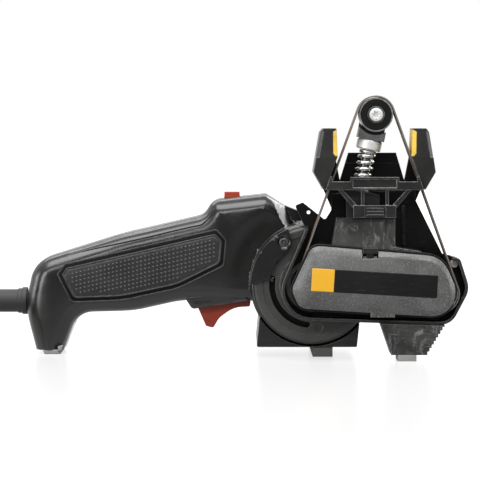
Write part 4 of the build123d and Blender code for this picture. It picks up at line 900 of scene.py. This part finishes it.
def rim_edge():
    """The rounded front edge of the head's rim: a section carried along the part of the plate that has it."""
    ring = rounded_outline(CASSETTE, 8)
    ends = np.concatenate([ring, ring[:1]])
    dense = along_path(ends, np.arange(0, lengths(ends)[-1], RIM_STEP))
    x, z = dense.T
    left, right, low = RIM_GAP
    kept = (z < RIM_TOP) & ~((x > left) & (x < right) & (z > low))
    rings = [np.insert(inset(dense, amount)[kept], 1, y, axis=1) for amount, y in RIM_SECTION]
    # Its finish's light edge colour paints a highlight along the rim's edge
    edge = lofted("cassette_rim_edge", np.stack(rings, axis=1), "head", WING_PLASTIC)


# Spring, screws and pad ----------------

SPRING_SEAT = (57.25, BELT_Y, 84.0)
TENSION_TILT = math.radians(11.7)
SPRING_LENGTH = 20.6
SPRING_TURNS, SPRING_STEPS = 7, 40
SPRING_RADIUS = 3.5
WIRE_RADIUS, WIRE_STEPS = 0.9, 12
# Turns that lie closed at each end, and the share of the height that all turns climb evenly
CLOSED_TURNS = 0.6
EVEN_SHARE = 0.06


def tension_coil():
    """A helix r = 3.5 with closed, flat end coils, swept by a 1.8 mm circle.

    point = line(t) + w (cos b * n + sin b * m)
    """
    t = np.linspace(0, 1, SPRING_TURNS * SPRING_STEPS + 1)
    ease = np.clip((t * SPRING_TURNS - CLOSED_TURNS) / (SPRING_TURNS - 2 * CLOSED_TURNS), 0, 1)
    rise = SPRING_LENGTH - 2 * WIRE_RADIUS
    height = WIRE_RADIUS + rise * (EVEN_SHARE * t + (1 - EVEN_SHARE) * ease)
    a = 2 * math.pi * SPRING_TURNS * t
    line = np.stack([SPRING_RADIUS * np.cos(a), SPRING_RADIUS * np.sin(a), height], axis=1)
    out = np.stack([np.cos(a), np.sin(a), np.zeros_like(a)], axis=1)
    up = np.cross(unit(np.gradient(line, axis=0)), out)
    b = around(WIRE_STEPS)[None, :, None]
    points = line[:, None] + WIRE_RADIUS * (np.cos(b) * out[:, None] + np.sin(b) * up[:, None])
    c, s = math.cos(TENSION_TILT), math.sin(TENSION_TILT)
    x, y, z = points[..., 0], points[..., 1], points[..., 2]
    seat_x, seat_y, seat_z = SPRING_SEAT
    seated = np.stack([seat_x + c * x + s * z, seat_y + y, seat_z - s * x + c * z], axis=-1)
    coil = lofted("tension_coil", seated, "head", SPRING_STEEL, crease=60.0)
    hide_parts("tension_spring")
    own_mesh(coil)


# Where each head's face is. Sizes are the shaft's radius, the head's radius, the length, the head's height,
# the socket's radius and its depth
SCREW_STEPS = 48
LUG_SCREW, LUG_SIZES = (20.0, -26.4, 58.0), (1.2, 2.3, 0.75, 0.5, 1.1, 0.62)
CORNER_SCREW, CORNER_SIZES = (104.6, -32.2, 47.8), (1.2, 2.15, 1.9, 1.5, 1.0, 0.7)
BOLT_Y, BOLT_SIZES = -42.0, (1.6, 3.3, 2.4, 1.3, 1.5, 1.0)
BACK_SCREWS = [(-98.5, 13.0), (-99.0, 40.0), (-45.0, 60.0), (-40.0, 30.5), (6.4, 72.0)]
BACK_Y, BACK_SIZES = 24.5, (1.35, 2.55, 22.0, 2.0, 1.25, 1.4)
WASHER_Y = -40.3
WASHER = [(1.6, 0), (4.2, 0), (4.2, 0.35), (4.05, 0.5), (1.6, 0.5)]
# Painted shade behind the index ring's slot: a black ring's (radius, height), and its place along Y
SLOT_SHADE = [(17.2, 0.0), (22.9, 0.0), (22.9, 0.1), (17.2, 0.1)]
SLOT_SHADE_Y = -20.49
HEEL_PAD = (
    ([(-102.4, 2.2), (-101.4, 0.0), (-93.4, 0.0), (-92.6, 2.2)], [(20.0, 0), (-6.6, 0), (-6.9, 0.3)]),
    ([(-94.6, 1.6), (-94.6, 3.9), (-91.9, 4.6), (-92.9, 1.6)], [(-4.0, 0), (-7.4, 0), (-7.7, 0.3)]),
)


def joined(name, solids, body, finish):
    """One mesh from several (points, faces) pairs."""
    points, faces, start = [], [], 0
    for some, polygons in solids:
        points.append(np.asarray(some, float).reshape(-1, 3))
        faces += [tuple(start + int(i) for i in f) for f in polygons]
        start += len(points[-1])
    return outward(add_mesh(name, np.concatenate(points), faces, body, finish))


def screw(centre, forward, shaft_r, head_r, length, head, lobe_r, deep):
    """A pan head screw along Y, as rings, with r = lobe_r (1 + 0.16 cos 6a) in its six-lobed socket."""
    a = around(SCREW_STEPS)
    even, lobes = np.ones_like(a), 1 + 0.16 * np.cos(6 * a)
    # Radius, depth below the head's face, and how the radius varies round the screw
    levels = [
        (shaft_r * 0.6, length, even),
        (shaft_r, length - 1, even),
        (shaft_r, head, even),
        (head_r, head, even),
        (head_r, 0.35 * head, even),
        (head_r * 0.93, 0.1 * head, even),
        (head_r * 0.8, 0.0, even),
        (lobe_r * 1.12, 0.0, lobes),
        (lobe_r, 0.12, lobes),
        (lobe_r * 0.92, deep, lobes),
    ]
    x, y, z = centre
    rings = [
        np.stack([x + r * k * np.cos(a), np.full_like(a, y - forward * d), z + r * k * np.sin(a)], axis=1)
        for r, d, k in levels
    ]
    return np.concatenate(rings), capped_faces(len(rings), len(a))


def fixing(name, places, forward, sizes, body, finish, stands_for=None):
    """One piece of equal screws at these places."""
    piece = joined(name, [screw(place, forward, *sizes) for place in places], body, finish)
    if stands_for:
        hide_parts(stands_for)


def screws():
    """Socket screws: the lug's, the head's corner one, the idler's bolt on its washer, five in the grip."""
    fixing("lug_screw_socket", [LUG_SCREW], -1, LUG_SIZES, "handle", DARK_STEEL, "lug_screw")
    fixing("corner_screw_face", [CORNER_SCREW], -1, CORNER_SIZES, "head", SATIN_STEEL)
    washer = turned("idler_washer", WASHER, (IDLER[0], WASHER_Y, IDLER[1]), (0, -1, 0), "idler", DARK_STEEL)
    fixing("idler_bolt", [(IDLER[0], BOLT_Y, IDLER[1])], -1, BOLT_SIZES, "idler", SATIN_STEEL, "idler_screw")
    back = [(x, BACK_Y, z) for x, z in BACK_SCREWS]
    fixing("clamshell_screw_set", back, 1, BACK_SIZES, "handle", DARK_STEEL, "clamshell_screws")


def heel_pad():
    """The pale pad under the heel, with its front showing below the heel's edge and a tab at its right."""
    solids = [
        (np.concatenate(levelled(outline, levels)), capped_faces(len(levels), len(outline)))
        for outline, levels in HEEL_PAD
    ]
    pad = joined("heel_pad", solids, "handle", PALE_RUBBER)
    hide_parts("handle_pad")


def slot_shade():
    """A thin black ring-shaped sheet on the drum's face that paints the shade seen through the index ring's
    slot at every tilt.
    """
    centre = (DRIVE[0], SLOT_SHADE_Y, DRIVE[1])
    shade = turned("slot_shade", SLOT_SHADE, centre, (0, -1, 0), "handle", BLACK_AND_PAINTED_SHADE, steps=96)


handle_halves()
grip_inlays()
grip_dots()
grip_creases()
label()
round_cover()
cover_gasket()
rim_edge()
tension_coil()
screws()
heel_pad()
slot_shade()


# Cord ----------------------------------

CORD_ROUTE = [(-156.6, 11.0, 26.0), (-186.0, 11.5, 24.8), (-216.0, 11.0, 25.0)]
PLUG_ROUTE = [(-214.7, -67.0, 3.7), (-202.0, -67.7, 4.3), (-189.0, -66.2, 7.7), (-177.0, -67.0, 9.0)]
COIL_CENTRE = (-240.0, -28.0)
# Each layer's (radius, height) in the coil, and the turns at which the cord goes from one to the next
COIL_SEATS = [
    (42.4, 25.0), (35.2, 25.0), (35.2, 17.9), (42.4, 17.9),
    (42.4, 10.8), (35.2, 10.8), (35.2, 3.7), (42.4, 3.7),
]
SEAT_FIRST, SEAT_STEP, SEAT_CHANGE = 0.67, 0.86, 0.14
COIL_TURNS = 6.5
COIL_POINTS = 16
# The curve touches the middles of its control lines, at cos(pi / 16) of their points' radius
CURVE_SHARE = 0.981
CORD_RADIUS = 0.0035


def coil_points():
    """Turns of a put-away coil.

    The angle runs on from 90 degrees. Radius and height ease from seat k to seat k + 1 about turn
    0.67 + 0.86 k.
    """
    turn = np.arange(1, int(COIL_TURNS * COIL_POINTS)) / COIL_POINTS
    seats = np.array(COIL_SEATS)
    middles = SEAT_FIRST + SEAT_STEP * np.arange(len(seats) - 1)
    step = np.clip((turn[:, None] - middles) / SEAT_CHANGE + 0.5, 0, 1)
    ease = step * step * (3 - 2 * step)
    spot = seats[0] + ease @ np.diff(seats, axis=0)
    angle = math.pi / 2 + 2 * math.pi * turn
    radius = spot[:, 0] / CURVE_SHARE
    x, y = COIL_CENTRE
    return np.stack([x + radius * np.cos(angle), y + radius * np.sin(angle), spot[:, 1]], axis=1)


def power_cord():
    """A curve of second-degree spans through the route, the coil and the plug's lead, swept by a circle."""
    points = np.concatenate([CORD_ROUTE, coil_points(), PLUG_ROUTE]) * MM
    line = bpy.data.curves.new("power_lead", "CURVE")
    line.dimensions = "3D"
    spline = line.splines.new("NURBS")
    spline.points.add(len(points) - 1)
    spline.points.foreach_set("co", np.insert(points, 3, 1.0, axis=1).ravel())
    spline.order_u = 3
    spline.use_endpoint_u = True
    spline.resolution_u = 6
    line.bevel_depth = CORD_RADIUS
    line.bevel_resolution = 5
    line.use_fill_caps = True
    line.materials.append(CORD_RUBBER)
    piece = placed("power_lead", line)
    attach(piece, "handle")
    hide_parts("power_cord", "cord_coil", "plug_lead")
    return piece


lead = power_cord()


# Floor, light and camera ---------------

GROUND_HALF = 3.0
GROUND_GREY = (0.22, 0.22, 0.22, 1)
GROUND_NEAR = 0.66
GROUND_FADE = (0.3, 0.8)
GROUND_MIRRORED = (-0.15, 0.1)
WORLD_LEVEL = 0.36
FRONT_LEVEL = 0.2
WHITE = (1, 1, 1, 1)
# The lens in pixels and the picture's width in pixels, the sensor in millimetres, and the look down
FOCAL, WIDTH, SENSOR = 2222.0, 480.0, 36.0
CAMERA_PLACE = (-0.0019, -1.134, 0.115)
CAMERA_DOWN = math.atan(0.0504)
# Each lamp's name, place, aim, width and height in metres, and power in watts
LAMPS = (
    ("softbox", (-0.05, -0.28, 0.78), (0.0, 0.0, 0.06), (1.1, 0.5), 7.71),
    ("front_strip", (-0.05, -0.95, 0.50), (0.0, 0.0, 0.06), (0.9, 0.12), 2.44),
    ("left_strip", (-0.62, -0.74, 0.20), (-0.04, 0.0, 0.05), (0.28, 0.45), 2.44),
    ("back_strip", (0.0, 0.40, 0.55), (0.0, 0.0, 0.06), (1.0, 0.15), 1.5),
    ("back_right", (0.50, 0.52, 0.52), (0.02, 0.0, 0.07), (0.42, 0.42), 2.82),
    ("left", (-0.90, -0.10, 0.20), (0.0, 0.0, 0.06), (0.3, 0.35), 1.6),
    ("right", (0.90, -0.12, 0.22), (0.05, 0.0, 0.06), (0.3, 0.35), 1.88),
)


def floor_material():
    """White ground that keeps soft shadows close to the object and runs out to plain white further off."""
    made, tree, shader, place = new_material("pale ground")
    fill(shader, {"Base Color": GROUND_GREY, "Roughness": 0.25, "Specular IOR Level": 0.3})
    fill(shader, {"Emission Color": WHITE})
    path = node(tree, "LightPath")
    y = node(tree, "SeparateXYZ", Vector=place).outputs["Y"]
    mirrored = maths(tree, "MULTIPLY", path.outputs["Is Glossy Ray"], remap(tree, y, *GROUND_MIRRORED))
    seen = maths(tree, "MAXIMUM", path.outputs["Is Camera Ray"], mirrored)
    far = vector_node(tree, "LENGTH", place).outputs["Value"]
    lift = remap(tree, far, *GROUND_FADE, GROUND_NEAR, 1.0)
    tree.links.new(maths(tree, "MULTIPLY", seen, lift), shader.inputs["Emission Strength"])
    return made


def floor():
    """A square of ground under the stand."""
    half = GROUND_HALF
    mesh = bpy.data.meshes.new("ground")
    corners = [(-half, -half, 0), (half, -half, 0), (half, half, 0), (-half, half, 0)]
    mesh.from_pydata(corners, [], [(0, 1, 2, 3)])
    mesh.materials.append(floor_material())
    placed("ground", mesh)


def soft_light(name, place, aim, size, power):
    """A rectangular lamp that points at its aim."""
    lamp = bpy.data.lights.new(name, "AREA")
    lamp.shape = "RECTANGLE"
    lamp.size, lamp.size_y = size
    lamp.energy = power
    holder = placed(name, lamp)
    holder.location = place
    holder.rotation_euler = (Vector(aim) - Vector(place)).to_track_quat("-Z", "Y").to_euler()


def world():
    """White to the camera. Reflections see the same white overhead and behind, and a dimmer room in front."""
    made = bpy.data.worlds.new("studio")
    bpy.context.scene.world = made
    made.use_nodes = True
    tree = made.node_tree
    back = tree.nodes["Background"]
    back.inputs["Color"].default_value = WHITE
    path = node(tree, "LightPath").outputs
    split = node(tree, "SeparateXYZ", Vector=node(tree, "TexCoord").outputs["Generated"])
    behind = remap(tree, split.outputs["Y"], -0.1, 0.35, FRONT_LEVEL, 1.0)
    above = remap(tree, split.outputs["Z"], 0.25, 0.75, FRONT_LEVEL, 1.0)
    mirrored = maths(tree, "MULTIPLY", path["Is Glossy Ray"], maths(tree, "MAXIMUM", behind, above))
    shown = maths(tree, "MAXIMUM", path["Is Camera Ray"], path["Is Transmission Ray"])
    shown = maths(tree, "MAXIMUM", shown, mirrored)
    diffuse = maths(tree, "MULTIPLY", path["Is Diffuse Ray"], WORLD_LEVEL)
    tree.links.new(maths(tree, "MAXIMUM", shown, diffuse), back.inputs["Strength"])


def camera():
    """The camera, level sideways and looking a little down."""
    lens = bpy.data.cameras.new("camera")
    lens.sensor_width = SENSOR
    lens.lens = FOCAL / WIDTH * SENSOR
    lens.clip_start, lens.clip_end = 0.01, 20.0
    holder = placed("camera", lens)
    holder.location = CAMERA_PLACE
    holder.rotation_euler = (math.radians(90) - CAMERA_DOWN, 0, 0)
    bpy.context.scene.camera = holder


floor()
world()
for lamp in LAMPS:
    soft_light(*lamp)
camera()
bpy.context.scene.view_settings.view_transform = "Standard"
